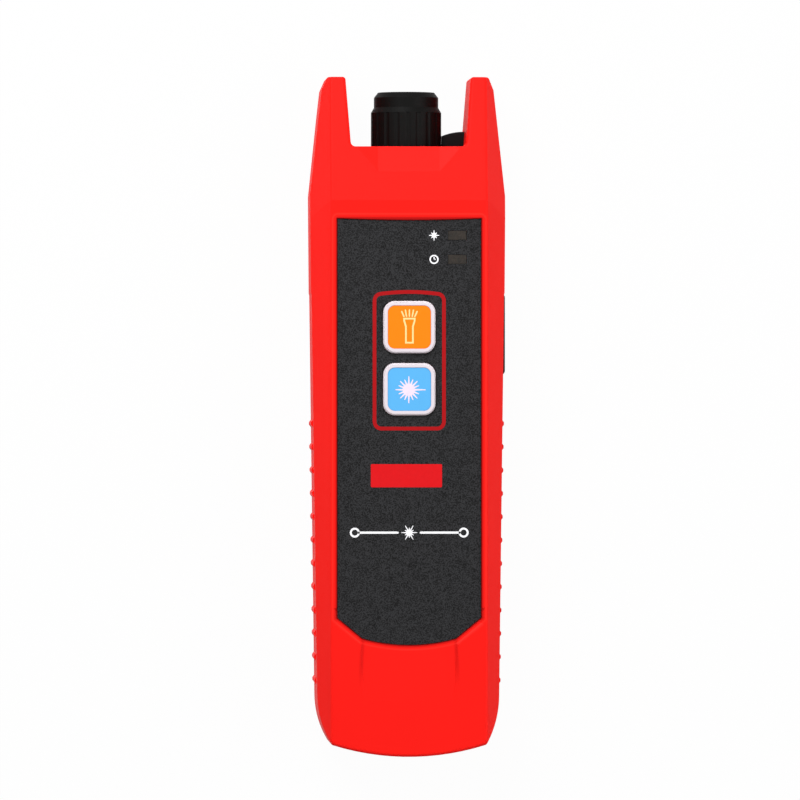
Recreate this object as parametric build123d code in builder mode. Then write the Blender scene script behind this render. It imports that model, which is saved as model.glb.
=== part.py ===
from build123d import *
import os

os.makedirs("parts", exist_ok=True)

# A handheld visual fault locator for optical fibre, lying on its back.
# +X is to the right of the keys, +Y runs towards the port, +Z comes out of the front.
# All sizes are in millimetres.

# Case, seen from the front
horn_height = 17.5
horn_tip_thickness = 4.5
horn_tip_run = 1.4
horn_chamfer = 3.2
notch_draft = 1.3
notch_radius = 1.2
shoulder_setback = 6.1
grip_setback = 0.2
grip_drop = 24.2
grip_step = 0.15
grip_step_length = 0.6
tail_taper = 1.7
tail_bend_height = 15.0
tail_corner_inset = 5.2
tail_corner_height = 3.0
tail_bulge_depth = 0.9

# Case, seen from the side
wall = 2.2
flange_floor_gap = 1.2
back_margin = 1.35
back_facet_run = 4.0
back_slope = 1.25
front_facet_run = 5.0
facet_slope = 1.6
front_slope = 0.2
slope_setback = 1.2
crease_run = 3.6
crease_drop = 3.2
horn_back_slope = 0.12
horn_back_drop = 25.0
throat_run = 6.3
throat_slope = 0.4
throat_width = 15.4
throat_flare = 78.0
throat_height = 8.0
ridge_radius = 0.8
rib_count = 12
rib_pitch = 5.85
rib_tail_gap = 18.85
rib_proud = 0.5
rib_radius = 0.97
rib_sides = 10
rib_low_z = 4.6
rib_front_drop = 9.4

# Port pocket between the horns
deck_depth = 4.0
deck_thickness = 2.2
pocket_low_gap = 0.55
pocket_high_gap = 1.35
pocket_margin = 0.8
pocket_radius = 3.0

# Overlay and its recess
overlay_side_gap = 1.6
overlay_shoulder_gap = 5.9
overlay_tail_gap = 28.0
overlay_belly = 1.6
overlay_slant_height = 5.2
overlay_slant_inset = 6.3
overlay_top_dip = 0.4
overlay_thickness = 0.5
overlay_recess = 0.9
overlay_gap = 0.2
scoop_length = 14.0
scoop_inset = 0.3
scoop_depth = 0.7
scoop_margin = 1.3
scoop_flare = 55.0

# Keys
key_size = 13.0
key_radius = 2.9
key_pitch = 15.5
key_setback = 27.0
key_proud = 0.6
key_gap = 0.2
key_chamfer = 0.35
key_border = 1.1
key_field_depth = 0.12
key_flange = 0.8
key_flange_thickness = 1.0
key_travel = 0.6
key_post_radius = 2.0
key_post_length = 2.0
stop_gap = 0.05

# Main board and what it carries
board_thickness = 1.6
board_drop = 7.0
board_laser_gap = 2.0
board_width = 27.6
board_length = 70.1
board_top_gap = 5.2
board_low_gap = 1.8
board_tab_gap = 1.0
board_tab_length = 10.0
board_screw_inset_x = 2.6
board_screw_inset_y = 3.0
board_boss_radius = 2.3
board_screw_radius = 0.8
board_screw_head_radius = 1.7
board_screw_head = 1.2
board_screw_length = 6.0
screw_gap = 0.05
screw_sides = 12
head_sides = 24
boss_sides = 8
switch_size = 6.0
switch_height = 3.2
switch_bore_depth = 2.4
plunger_radius = 1.75
plunger_gap = 0.06
mat_thickness = 0.8
mat_margin = 2.4
mat_collar_outer = 12.0
mat_collar_inner = 10.4
mat_collar_gap = 0.25
mat_switch_gap = 0.2
guide_length = 4.5
guide_width = 2.2
guide_side_gap = 5.9
guide_top_gap = 4.1
guide_pitch = 6.0
guide_gap = 0.1
guide_flange = 0.5
guide_leg = 2.0
led_length = 2.0
led_width = 1.3
led_height = 0.8
led_gap = 0.2
chip_sizes = ((6.0, 6.0, 1.4), (4.0, 5.0, 1.4))
chip_xs = (-6.0, -11.2)

# Fibre port
port_radius = 6.1
port_height = 10.6
port_gap = 0.06
port_flange_radius = 8.6
port_flange = 1.9
port_chamfer = 0.6
relief_radius = 5.6
relief_length = 1.2
sleeve_radius = 1.8
sleeve_gap = 0.03
ferrule_radius = 1.25
sleeve_length = 11.4
sleeve_slit = 0.5
sleeve_cover = 0.8
mouth_gap = 0.15
mouth_flare = 1.0
laser_radius = 4.6
laser_nose_radius = 3.1
laser_length = 21.0
laser_bore_radius = 1.6
laser_fit = 0.05
laser_can_radius = 2.8
laser_can_length = 4.0
laser_can_base_radius = 3.4
laser_can_base = 1.0
lens_radius = 2.2
lens_thickness = 1.6
lens_seat = 5.0
saddle_thickness = 2.0
saddle_gap = 0.05
saddle_inset = 4.0
saddle_pitch = 12.0

# Dust cap and tether
cap_top_above_notch = 13.9
cap_flat_radius = 7.1
cap_tier_radius = 8.1
cap_chamfer_height = 1.3
cap_tier_height = 3.8
cap_step_height = 1.3
cap_skirt_radius = 8.85
cap_roof = 2.2
cap_thread_gap = 0.1
cap_floor_gap = 0.55
cap_lip_radius = 8.2
cap_lip_height = 0.6
cap_collar_radius = 7.6
flute_count = 20
flute_radius = 1.5
flute_depth = 0.22
ring_gap = 0.12
ring_outer_radius = 9.3
ring_height = 1.3
seal_thickness = 0.4
seal_width = 1.1
strap_thickness = 1.8
strap_top_inner = 3.0
strap_top_mid = 4.0
strap_top_outer = 4.1
strap_mid_share = 0.6
strap_gap = 0.2
anchor_depth = 1.8
anchor_head = 1.0
anchor_head_width = 4.2
anchor_gap = 0.1

# Torch lamp
lamp_x = -10.8
lamp_side_gap = 0.3
lamp_radius = 2.5
lamp_gap = 0.06
lamp_dome_height = 3.5
lamp_facet_share = 0.7
lamp_base_radius = 2.9
lamp_base = 1.0
lamp_lead = 0.5
lamp_lead_pitch = 2.54
lamp_lead_length = 3.2

# Supply socket and its rubber cover
cover_top_gap = 0.3
cover_length = 20.4
cover_width = 7.2
cover_setback = 0.1
cover_thickness = 1.5
cover_gap = 0.1
cover_end_gap = 0.3
cover_end_radius = 1.2
bead_radius = 0.9
bead_gap = 0.08
socket_length = 7.6
socket_height = 2.6
socket_depth = 5.4
socket_wall = 0.35
socket_wall_gap = 0.2
socket_mouth_depth = 4.6
tongue_thickness = 0.6
tongue_setback = 2.2
tongue_length = 5.0
plug_length = 5.8
plug_height = 1.3
plug_reach = 1.4
opening_margin = 0.4

# Battery bay
cell_radius = 7.1
cell_length = 50.5
cell_nub_radius = 2.75
cell_nub = 1.3
cell_gap = 0.25
bay_tail_gap = 12.4
bay_spare_length = 5.1
bay_wall = 1.2
contact_thickness = 0.4
contact_width = 9.0
contact_height = 10.0
spring_width = 5.0
spring_rise = 2.0
spring_leaf = 0.3
door_ledge = 2.8
door_recess = 2.2
door_setback = 0.2
door_gap = 0.2
door_inner_gap = 0.1
door_corner_radius = 2.0
door_tongue_width = 11.0
door_tongue_length = 6.6
door_rib = 0.35
door_rib_width = 1.2
door_rib_share = 0.7
frame_margin = 1.4
frame_height = 3.8
gasket_width = 1.2
gasket_depth = 0.8
gasket_inset = 0.8
door_screw_radius = 1.25
door_screw_head_radius = 2.4
door_screw_head = 1.1
door_screw_length = 7.0
door_screw_inset = 3.3
door_slot_width = 0.8
door_slot_depth = 0.6
door_boss_radius = 3.0
door_boss_height = 9.0

# Case screws and the seal between the shells
case_screw_radius = 1.25
case_screw_head_radius = 2.4
case_screw_head = 1.6
case_screw_depth = 2.6
case_screw_length = 16.0
case_screw_hole_gap = 0.2
case_boss_radius = 3.0
case_pilot_spare = 0.6
case_screw_inset = 7.3
case_screw_shoulder_gap = 3.7
case_screw_door_gap = 6.2
case_screw_tail_inset = 6.8
case_screw_tail_gap = 6.0
seal_cord_width = 0.9
seal_cord_depth = 0.6
seal_cord_inset = 0.7

# Leads
lead_radius = 0.5
lead_sides = 8
cell_lead_x = 7.0
laser_lead_x = 1.3
lead_reach = 3.6

# Half-widths that follow from the cells side by side, from the back outwards
cell_pitch = cell_radius + cell_gap
bay_half = cell_pitch + cell_radius + 2 * cell_gap
door_half = bay_half + door_ledge
back_half = door_half + frame_margin + back_margin
body_half = back_half + back_facet_run
front_half = body_half - front_facet_run
grip_half = body_half - grip_setback
tail_half = body_half - tail_taper
tail_corner_half = body_half - tail_corner_inset
pocket_half = lamp_radius + lamp_side_gap - lamp_x
notch_half = pocket_half + pocket_margin
notch_mouth_half = notch_half + notch_draft
horn_flat_half = notch_mouth_half + horn_tip_thickness
horn_tip_half = horn_flat_half + horn_tip_run
overlay_half = front_half - overlay_side_gap
overlay_slant_half = overlay_half - overlay_slant_inset

# Lengths and heights along the case, which add up to 170 mm
head_length = horn_height + deck_depth + deck_thickness
control_length = board_top_gap + board_length + board_low_gap + bay_wall
body_length = head_length + control_length + bay_spare_length + cell_length + bay_tail_gap
top_y = body_length / 2
bottom_y = -body_length / 2
notch_y = top_y - horn_height
deck_y = notch_y - deck_depth
cavity_top_y = deck_y - deck_thickness
shoulder_y = cavity_top_y - shoulder_setback
slope_y = shoulder_y - slope_setback
grip_top_y = shoulder_y - grip_drop
tail_bend_y = bottom_y + tail_bend_height
tail_corner_y = bottom_y + tail_corner_height
rib_low_y = bottom_y + rib_tail_gap

# Levels that follow from the back to the front
split_z = wall + port_flange_radius + flange_floor_gap
board_low_z = split_z + laser_radius + board_laser_gap
board_top_z = board_low_z + board_thickness
panel_low_z = board_top_z + board_drop
case_depth = panel_low_z + wall
rib_high_z = case_depth - rib_front_drop
pocket_low_z = split_z - cap_skirt_radius - pocket_low_gap
pocket_high_z = split_z + cap_skirt_radius + pocket_high_gap
overlay_floor_z = case_depth - overlay_recess
overlay_top_z = overlay_floor_z + overlay_thickness
key_top_z = case_depth + key_proud
flange_top_z = panel_low_z - stop_gap
flange_low_z = flange_top_z - key_flange_thickness
switch_top_z = board_top_z + switch_height
plunger_top_z = flange_low_z - key_post_length

# Overlay, keys, board and windows
overlay_top_y = shoulder_y - overlay_shoulder_gap
overlay_low_y = bottom_y + overlay_tail_gap
overlay_slant_low_y = overlay_low_y + overlay_belly
overlay_side_low_y = overlay_slant_low_y + overlay_slant_height
scoop_low_y = overlay_low_y - scoop_length
torch_key_y = overlay_top_y - key_setback
laser_key_y = torch_key_y - key_pitch
key_places = {"torch": torch_key_y, "laser": laser_key_y}
guide_x = overlay_half - guide_side_gap
guide_upper_y = overlay_top_y - guide_top_gap
guide_lower_y = guide_upper_y - guide_pitch
bay_low_y = bottom_y + bay_tail_gap
bay_top_y = bay_low_y + cell_length + bay_spare_length
board_low_y = bay_top_y + bay_wall + board_low_gap
board_top_y = board_low_y + board_length
chip_places = ((chip_xs[0], guide_lower_y), (chip_xs[1], torch_key_y))

# Port, cap and lamp
port_top_y = deck_y + port_height
port_axis = Plane(origin=(0, 0, split_z), x_dir=(1, 0, 0), z_dir=(0, 0, 1))
port_flange_top_y = cavity_top_y - stop_gap
port_flange_low_y = port_flange_top_y - port_flange
sleeve_top_y = port_top_y - sleeve_cover
sleeve_low_y = sleeve_top_y - sleeve_length
nose_top_y = sleeve_low_y - stop_gap
laser_top_y = port_flange_low_y - stop_gap
laser_low_y = laser_top_y - laser_length
cap_top_y = notch_y + cap_top_above_notch
cap_low_y = deck_y + cap_floor_gap
collar_low_y = cap_low_y + cap_lip_height
collar_high_y = collar_low_y + ring_height + 2 * ring_gap
ring_low_y = collar_low_y + ring_gap
lamp_z = board_low_z + board_thickness / 2

# Battery bay, door and screws
cell_z = door_recess + cell_gap + cell_radius
bay_roof_z = cell_z + cell_radius + cell_gap
cell_low_y = bay_low_y + contact_thickness + spring_rise + stop_gap
door_low_y = bay_low_y - door_ledge
door_top_y = bay_top_y + door_ledge
door_screw_ys = (
    door_top_y + door_tongue_length - door_screw_inset,
    door_low_y - door_tongue_length + door_screw_inset,
)
case_screw_places = (
    (body_half - case_screw_inset, shoulder_y - case_screw_shoulder_gap),
    (body_half - case_screw_inset, door_top_y + case_screw_door_gap),
    (tail_corner_half - case_screw_tail_inset, bottom_y + case_screw_tail_gap),
)
screw_xs = (-1, 1)

# Side cover and socket
cover_top_y = grip_top_y - cover_top_gap
cover_low_y = cover_top_y - cover_length
socket_y = cover_low_y + cover_length / 2
cover_low_z = board_low_z - socket_height / 2 - cover_width / 2
cover_face_x = body_half - cover_setback
bead_x = cover_face_x - bead_radius
bead_y = cover_top_y - bead_radius
recess_x = cover_face_x - cover_thickness - cover_gap


def side_x(y):
    """Half-width of the case at a height between the grip step and the tail bend."""
    upper_x = grip_half - grip_step
    run = (grip_top_y - y) / (grip_top_y - tail_bend_y)
    return upper_x - run * (upper_x - tail_half)


socket_face_x = side_x(socket_y) - wall - socket_wall_gap


def case_outline():
    """Outline of the case from the front."""
    with BuildSketch() as outline:
        with BuildLine():
            Polyline(
                (notch_half, notch_y),
                (notch_mouth_half, top_y),
                (horn_flat_half, top_y),
                (horn_tip_half, top_y - horn_chamfer),
                (body_half, shoulder_y),
                (grip_half, grip_top_y),
                (grip_half - grip_step, grip_top_y - grip_step_length),
                (tail_half, tail_bend_y),
            )
            ThreePointArc(
                (tail_half, tail_bend_y),
                (
                    (tail_half + tail_corner_half) / 2 + tail_bulge_depth,
                    (tail_bend_y + tail_corner_y) / 2,
                ),
                (tail_corner_half, tail_corner_y),
            )
            mirror(about=Plane.YZ)
            Line((-notch_half, notch_y), (notch_half, notch_y))
            ThreePointArc(
                (-tail_corner_half, tail_corner_y),
                (0, bottom_y),
                (tail_corner_half, tail_corner_y),
            )
        make_face()
        notch_corners = outline.vertices().filter_by_position(Axis.Y, notch_y, notch_y)
        fillet(notch_corners, notch_radius)
    return outline.sketch


def facet_planes():
    """Planes that cut the flat and sloping faces of the case, each facing outwards."""
    mitre_slope = facet_slope + front_slope * crease_drop / crease_run
    planes = [
        Plane(origin=(0, slope_y, case_depth), z_dir=(0, front_slope, 1)),
        Plane(origin=(0, top_y - horn_back_drop, 0), z_dir=(0, horn_back_slope, -1)),
    ]
    for side in (-1, 1):
        ridge = (side * front_half, 0, case_depth)
        mitre = (side * front_half, slope_y, case_depth)
        back = (side * back_half, 0, 0)
        planes.append(Plane(origin=ridge, z_dir=(side * facet_slope, 0, 1)))
        planes.append(Plane(origin=mitre, z_dir=(side * mitre_slope, front_slope, 1)))
        planes.append(Plane(origin=back, z_dir=(side * back_slope, 0, -1)))
    return planes


def case_form(inset=0.0):
    """The whole case as one solid, with every face moved in by inset."""
    with BuildPart() as form:
        with BuildSketch(Plane.XY.offset(inset)):
            add(case_outline())
            if inset:
                offset(amount=-inset, kind=Kind.INTERSECTION)
        extrude(amount=case_depth - 2 * inset)
        for plane in facet_planes():
            split(bisect_by=plane.offset(-inset), keep=Keep.BOTTOM)
        if not inset:
            fillet(form.edges(), ridge_radius)
    return form.part


def cavity_form():
    """The hollow inside both shells, below the deck."""
    with BuildPart() as cavity:
        add(case_form(wall))
        split(bisect_by=Plane.XZ.offset(-cavity_top_y), keep=Keep.TOP)
    return cavity.part


def pocket_form():
    """The pocket around the port, open towards the notch."""
    with BuildPart() as pocket:
        with BuildSketch(Plane.XZ.offset(-deck_y)):
            with Locations((0, (pocket_low_z + pocket_high_z) / 2)):
                RectangleRounded(2 * pocket_half, pocket_high_z - pocket_low_z, pocket_radius)
        extrude(amount=-horn_height)
        with BuildSketch(Plane.XY.offset(pocket_low_z)):
            with Locations((0, notch_y)):
                Rectangle(2 * notch_half, 2 * horn_height)
        extrude(amount=pocket_high_z - pocket_low_z, mode=Mode.INTERSECT)
    return pocket.part


def throat_form():
    """The slope that falls from the front to the notch, with flared ends."""
    throat_y = notch_y - throat_run
    throat_plane = Plane(
        origin=(0, throat_y, case_depth - front_slope * (throat_y - slope_y)),
        x_dir=(1, 0, 0),
        z_dir=(0, throat_slope, 1),
    )
    with BuildPart() as throat:
        with BuildSketch(throat_plane):
            Rectangle(throat_width, horn_height, align=(Align.CENTER, Align.MIN))
        extrude(amount=throat_height, taper=-throat_flare)
        split(bisect_by=Plane.XZ.offset(-notch_y), keep=Keep.TOP)
    return throat.part


def port_hole():
    """The hole in the deck for the port neck."""
    with BuildPart() as hole:
        with BuildSketch(Plane.XZ.offset(-cavity_top_y + stop_gap)):
            with Locations((0, split_z)):
                Circle(port_radius + port_gap)
        extrude(amount=-deck_thickness - 2 * stop_gap)
    return hole.part


def rib_pattern(low_z, high_z):
    """Blunt grip ribs on both sides, between two heights."""
    with BuildPart() as ribs:
        with BuildSketch(Plane.XY.offset(low_z)):
            for side in (-1, 1):
                for index in range(rib_count):
                    rib_y = rib_low_y + index * rib_pitch
                    with Locations((side * (side_x(rib_y) + rib_proud - rib_radius), rib_y)):
                        RegularPolygon(
                            rib_radius, rib_sides, major_radius=False, rotation=180 / rib_sides
                        )
        extrude(amount=high_z - low_z)
    return ribs.part


def tether_slot():
    """T-shaped slot in the right horn for the head of the tether."""
    slot_height = notch_y + strap_top_outer - ring_low_y + 2 * anchor_gap
    with BuildPart() as slot:
        with BuildSketch(Plane.XY.offset(split_z - strap_thickness / 2 - anchor_gap)):
            with Locations((notch_half + anchor_depth + anchor_gap, ring_low_y - anchor_gap)):
                Rectangle(
                    anchor_depth + 2 * notch_draft, slot_height, align=(Align.MAX, Align.MIN)
                )
        extrude(amount=strap_thickness + 2 * anchor_gap)
        with BuildSketch(Plane.XY.offset(split_z - anchor_head_width / 2 - anchor_gap)):
            with Locations((notch_half + anchor_depth + anchor_gap, ring_low_y - anchor_gap)):
                Rectangle(anchor_head + 2 * anchor_gap, slot_height, align=(Align.MAX, Align.MIN))
        extrude(amount=anchor_head_width + 2 * anchor_gap)
    return slot.part


def hidden_round(across):
    """An eight-sided shape with the given half-width, for bosses and bores that stay hidden."""
    with BuildSketch() as shape:
        RegularPolygon(across, boss_sides, major_radius=False, rotation=180 / boss_sides)
    return shape.sketch


def case_bosses(low_z, high_z, skin):
    """Screw bosses between two heights, trimmed to stay inside the case."""
    with BuildPart() as bosses:
        with BuildSketch(Plane.XY.offset(low_z)):
            for side in screw_xs:
                with Locations([(side * x, y) for x, y in case_screw_places]):
                    add(hidden_round(case_boss_radius))
        extrude(amount=high_z - low_z)
        add(case_form(skin), mode=Mode.INTERSECT)
    return bosses.part


def overlay_outline(gap=0.0):
    """Outline of the overlay: square at the top, slanted and rounded at the bottom."""
    half = overlay_half
    slant = overlay_slant_half
    with BuildSketch() as outline:
        with BuildLine():
            ThreePointArc(
                (-half, overlay_top_y), (0, overlay_top_y - overlay_top_dip), (half, overlay_top_y)
            )
            Polyline(
                (half, overlay_top_y), (half, overlay_side_low_y), (slant, overlay_slant_low_y)
            )
            ThreePointArc(
                (slant, overlay_slant_low_y), (0, overlay_low_y), (-slant, overlay_slant_low_y)
            )
            Polyline(
                (-slant, overlay_slant_low_y), (-half, overlay_side_low_y), (-half, overlay_top_y)
            )
        make_face()
        if gap:
            offset(amount=gap, kind=Kind.INTERSECTION)
    return outline.sketch


def key_squares(size, radius):
    """Rounded squares at both keys."""
    with BuildSketch() as squares:
        with Locations([(0, y) for y in key_places.values()]):
            RectangleRounded(size, size, radius)
    return squares.sketch


def guide_slots(grow):
    """Rectangles at both indicator windows."""
    with BuildSketch() as slots:
        with Locations((guide_x, guide_upper_y), (guide_x, guide_lower_y)):
            Rectangle(guide_length + 2 * grow, guide_width + 2 * grow)
    return slots.sketch


def door_outline(grow):
    """Outline of the battery door: a rectangle with a tongue at each end for its screw."""
    with BuildSketch() as outline:
        with Locations((0, (door_low_y + door_top_y) / 2)):
            RectangleRounded(
                2 * (door_half + grow), door_top_y - door_low_y + 2 * grow, door_corner_radius
            )
            RectangleRounded(
                door_tongue_width + 2 * grow,
                door_top_y - door_low_y + 2 * door_tongue_length + 2 * grow,
                door_corner_radius,
            )
    return outline.sketch


def gasket_ring(grow):
    """The ring around the battery bay, grown by a gap on both sides."""
    outer = gasket_inset + gasket_width + grow
    inner = gasket_inset - grow
    with BuildSketch() as ring:
        with Locations((0, (bay_low_y + bay_top_y) / 2)):
            RectangleRounded(2 * (bay_half + outer), bay_top_y - bay_low_y + 2 * outer, outer)
            RectangleRounded(
                2 * (bay_half + inner), bay_top_y - bay_low_y + 2 * inner, inner, mode=Mode.SUBTRACT
            )
    return ring.sketch


def seal_ring():
    """The seal cord's run between the shells, open where the port passes."""
    inner = wall - seal_cord_inset
    outer = inner - seal_cord_width
    with BuildSketch() as ring:
        for inset, top_gap, mode in (
            (outer, wall - outer, Mode.ADD),
            (inner, wall - inner, Mode.SUBTRACT),
        ):
            with BuildSketch(mode=mode):
                add(case_outline())
                offset(amount=-inset, kind=Kind.INTERSECTION)
                with Locations((0, cavity_top_y + top_gap)):
                    Rectangle(
                        2 * body_half,
                        body_length,
                        align=(Align.CENTER, Align.MIN),
                        mode=Mode.SUBTRACT,
                    )
        with Locations((0, cavity_top_y + wall / 2)):
            Rectangle(2 * (port_radius + seal_cord_width), 2 * wall, mode=Mode.SUBTRACT)
    return ring.sketch


def board_screw_locations():
    """The four screws of the main board."""
    x = board_width / 2 - board_screw_inset_x
    low = board_low_y + board_screw_inset_y
    high = board_top_y - board_screw_inset_y
    return [(-x, low), (x, low), (-x, high), (x, high)]


outer_form = case_form()
inner_form = cavity_form()

with BuildPart() as front_shell:
    add(outer_form)
    split(bisect_by=Plane.XY.offset(split_z), keep=Keep.TOP)
    add(rib_pattern(split_z, rib_high_z))
    add(inner_form, mode=Mode.SUBTRACT)
    add(case_bosses(split_z, case_depth, wall / 2))
    # Bosses that hold the main board
    with BuildSketch(Plane.XY.offset(board_top_z)):
        with Locations(board_screw_locations()):
            add(hidden_round(board_boss_radius))
    extrude(amount=board_drop + wall / 2)
    with BuildSketch(Plane.XY.offset(board_top_z)):
        with Locations(board_screw_locations()):
            add(hidden_round(board_screw_radius + screw_gap))
    extrude(amount=board_screw_length - board_thickness + case_pilot_spare, mode=Mode.SUBTRACT)
    # Pilot holes for the case screws
    with BuildSketch(Plane.XY.offset(split_z)):
        for side in screw_xs:
            with Locations([(side * x, y) for x, y in case_screw_places]):
                add(hidden_round(case_screw_radius + screw_gap))
    extrude(
        amount=case_screw_depth + case_screw_length + case_pilot_spare - split_z, mode=Mode.SUBTRACT
    )
    add(throat_form(), mode=Mode.SUBTRACT)
    add(pocket_form(), mode=Mode.SUBTRACT)
    add(port_hole(), mode=Mode.SUBTRACT)
    add(tether_slot(), mode=Mode.SUBTRACT)
    # Shallow scoop that fades out below the overlay
    scoop_run = overlay_side_low_y - scoop_low_y
    scoop_plane = Plane(
        origin=(0, scoop_low_y, case_depth),
        x_dir=(1, 0, 0),
        z_dir=(0, scoop_depth / scoop_run, 1),
    )
    with BuildSketch(scoop_plane):
        with BuildLine():
            Polyline(
                (scoop_inset - overlay_slant_half, 0),
                (overlay_slant_half - scoop_inset, 0),
                (overlay_slant_half, overlay_slant_low_y - scoop_low_y - scoop_margin),
                (overlay_half, scoop_run - scoop_margin),
                (overlay_half, scoop_run + scoop_margin),
                (-overlay_half, scoop_run + scoop_margin),
                (-overlay_half, scoop_run - scoop_margin),
                (-overlay_slant_half, overlay_slant_low_y - scoop_low_y - scoop_margin),
                close=True,
            )
        make_face()
    extrude(amount=2 * scoop_depth, taper=-scoop_flare, mode=Mode.SUBTRACT)
    # Recess of the overlay, then the openings under it
    with BuildSketch(Plane.XY.offset(overlay_floor_z)):
        add(overlay_outline(overlay_gap))
    extrude(amount=wall, mode=Mode.SUBTRACT)
    with BuildSketch(Plane.XY.offset(panel_low_z)):
        add(key_squares(key_size + 2 * key_gap, key_radius + key_gap))
        add(guide_slots(guide_gap))
    extrude(amount=wall, mode=Mode.SUBTRACT)
    # Hole of the torch lamp in the deck
    with BuildSketch(Plane.XZ.offset(-cavity_top_y)):
        with Locations((lamp_x, lamp_z)):
            Circle(lamp_radius + lamp_gap)
    extrude(amount=-deck_thickness, mode=Mode.SUBTRACT)
    # Recess of the side cover, the groove of its bead and the opening to the socket
    with BuildSketch(Plane.XY.offset(cover_low_z - cover_gap)):
        with Locations((recess_x, cover_low_y - cover_gap)):
            Rectangle(
                2 * wall, cover_length + cover_gap + cover_end_gap, align=(Align.MIN, Align.MIN)
            )
        with Locations((bead_x, bead_y)):
            Circle(bead_radius + bead_gap)
    extrude(amount=cover_width + 2 * cover_gap, mode=Mode.SUBTRACT)
    with BuildSketch(Plane.YZ.offset(socket_face_x)):
        with Locations((socket_y, board_low_z - socket_height / 2)):
            Rectangle(socket_length + 2 * opening_margin, socket_height + 2 * opening_margin)
    extrude(amount=wall + socket_wall_gap, mode=Mode.SUBTRACT)
front_shell.part.label = "front_shell"

with BuildPart() as rear_shell:
    add(outer_form)
    split(bisect_by=Plane.XY.offset(split_z), keep=Keep.BOTTOM)
    add(rib_pattern(rib_low_z, split_z))
    add(inner_form, mode=Mode.SUBTRACT)
    add(case_bosses(0, split_z, wall / 2))
    add(pocket_form(), mode=Mode.SUBTRACT)
    add(port_hole(), mode=Mode.SUBTRACT)
    add(tether_slot(), mode=Mode.SUBTRACT)
    # Frame around the battery door, and the walls and roof of the bay
    with BuildSketch(Plane.XY.offset(wall / 2)):
        add(door_outline(frame_margin))
    extrude(amount=frame_height - wall / 2)
    with BuildSketch(Plane.XY.offset(wall)):
        with Locations((0, (bay_low_y + bay_top_y) / 2)):
            Rectangle(2 * (bay_half + bay_wall), bay_top_y - bay_low_y + 2 * bay_wall)
    extrude(amount=bay_roof_z + bay_wall - wall)
    with BuildSketch(Plane.XY.offset(wall)):
        with Locations([(0, y) for y in door_screw_ys]):
            add(hidden_round(door_boss_radius))
    extrude(amount=door_boss_height - wall)
    # Saddles under the laser module
    for saddle_y in (laser_low_y + saddle_inset, laser_low_y + saddle_inset + saddle_pitch):
        with BuildSketch(Plane.XZ.offset(-saddle_y)):
            with Locations((0, wall / 2)):
                Rectangle(
                    2 * (laser_radius + wall), split_z - wall / 2, align=(Align.CENTER, Align.MIN)
                )
            with Locations((0, split_z)):
                Circle(laser_radius + saddle_gap, mode=Mode.SUBTRACT)
        extrude(amount=-saddle_thickness)
    # The bay, its door recess and the gasket groove
    with BuildSketch():
        with Locations((0, (bay_low_y + bay_top_y) / 2)):
            Rectangle(2 * bay_half, bay_top_y - bay_low_y)
    extrude(amount=bay_roof_z, mode=Mode.SUBTRACT)
    with BuildSketch():
        add(door_outline(door_gap))
    extrude(amount=door_recess, mode=Mode.SUBTRACT)
    with BuildSketch(Plane.XY.offset(door_recess)):
        add(gasket_ring(0.0))
    extrude(amount=gasket_depth, mode=Mode.SUBTRACT)
    with BuildSketch(Plane.XY.offset(door_recess)):
        with Locations([(0, y) for y in door_screw_ys]):
            add(hidden_round(door_screw_radius + screw_gap))
    extrude(amount=door_screw_length, mode=Mode.SUBTRACT)
    # Slots where the supply contacts leave the bay
    with BuildSketch(Plane.XZ.offset(-bay_top_y)):
        for side in screw_xs:
            with Locations((side * cell_lead_x, cell_z)):
                Circle(lead_radius + screw_gap)
    extrude(amount=-bay_wall, mode=Mode.SUBTRACT)
    # Holes and counterbores of the case screws
    with BuildSketch():
        for side in screw_xs:
            with Locations([(side * x, y) for x, y in case_screw_places]):
                add(hidden_round(case_screw_radius + case_screw_hole_gap))
    extrude(amount=split_z, mode=Mode.SUBTRACT)
    with BuildSketch():
        for side in screw_xs:
            with Locations([(side * x, y) for x, y in case_screw_places]):
                RegularPolygon(
                    case_screw_head_radius + case_screw_hole_gap, head_sides, major_radius=False
                )
    extrude(amount=case_screw_depth, mode=Mode.SUBTRACT)
    # Groove of the seal cord
    with BuildSketch(Plane.XY.offset(split_z - seal_cord_depth)):
        add(seal_ring())
    extrude(amount=seal_cord_depth, mode=Mode.SUBTRACT)
rear_shell.part.label = "rear_shell"

with BuildPart() as case_seal:
    with BuildSketch(Plane.XY.offset(split_z - seal_cord_depth)):
        add(seal_ring())
    extrude(amount=seal_cord_depth)
case_seal.part.label = "case_seal"

with BuildPart() as case_screws:
    with BuildSketch(Plane.XY.offset(case_screw_depth)):
        for side in screw_xs:
            with Locations([(side * x, y) for x, y in case_screw_places]):
                RegularPolygon(case_screw_radius, screw_sides)
    extrude(amount=case_screw_length)
    with BuildSketch(Plane.XY.offset(case_screw_depth - case_screw_head)):
        for side in screw_xs:
            with Locations([(side * x, y) for x, y in case_screw_places]):
                RegularPolygon(case_screw_head_radius, head_sides)
    extrude(amount=case_screw_head)
case_screws.part.label = "case_screws"

with BuildPart() as overlay:
    with BuildSketch(Plane.XY.offset(overlay_floor_z)):
        add(overlay_outline())
        add(key_squares(key_size + 2 * key_gap, key_radius + key_gap), mode=Mode.SUBTRACT)
        add(guide_slots(guide_gap), mode=Mode.SUBTRACT)
    extrude(amount=overlay_thickness)
overlay.part.label = "overlay"


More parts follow.
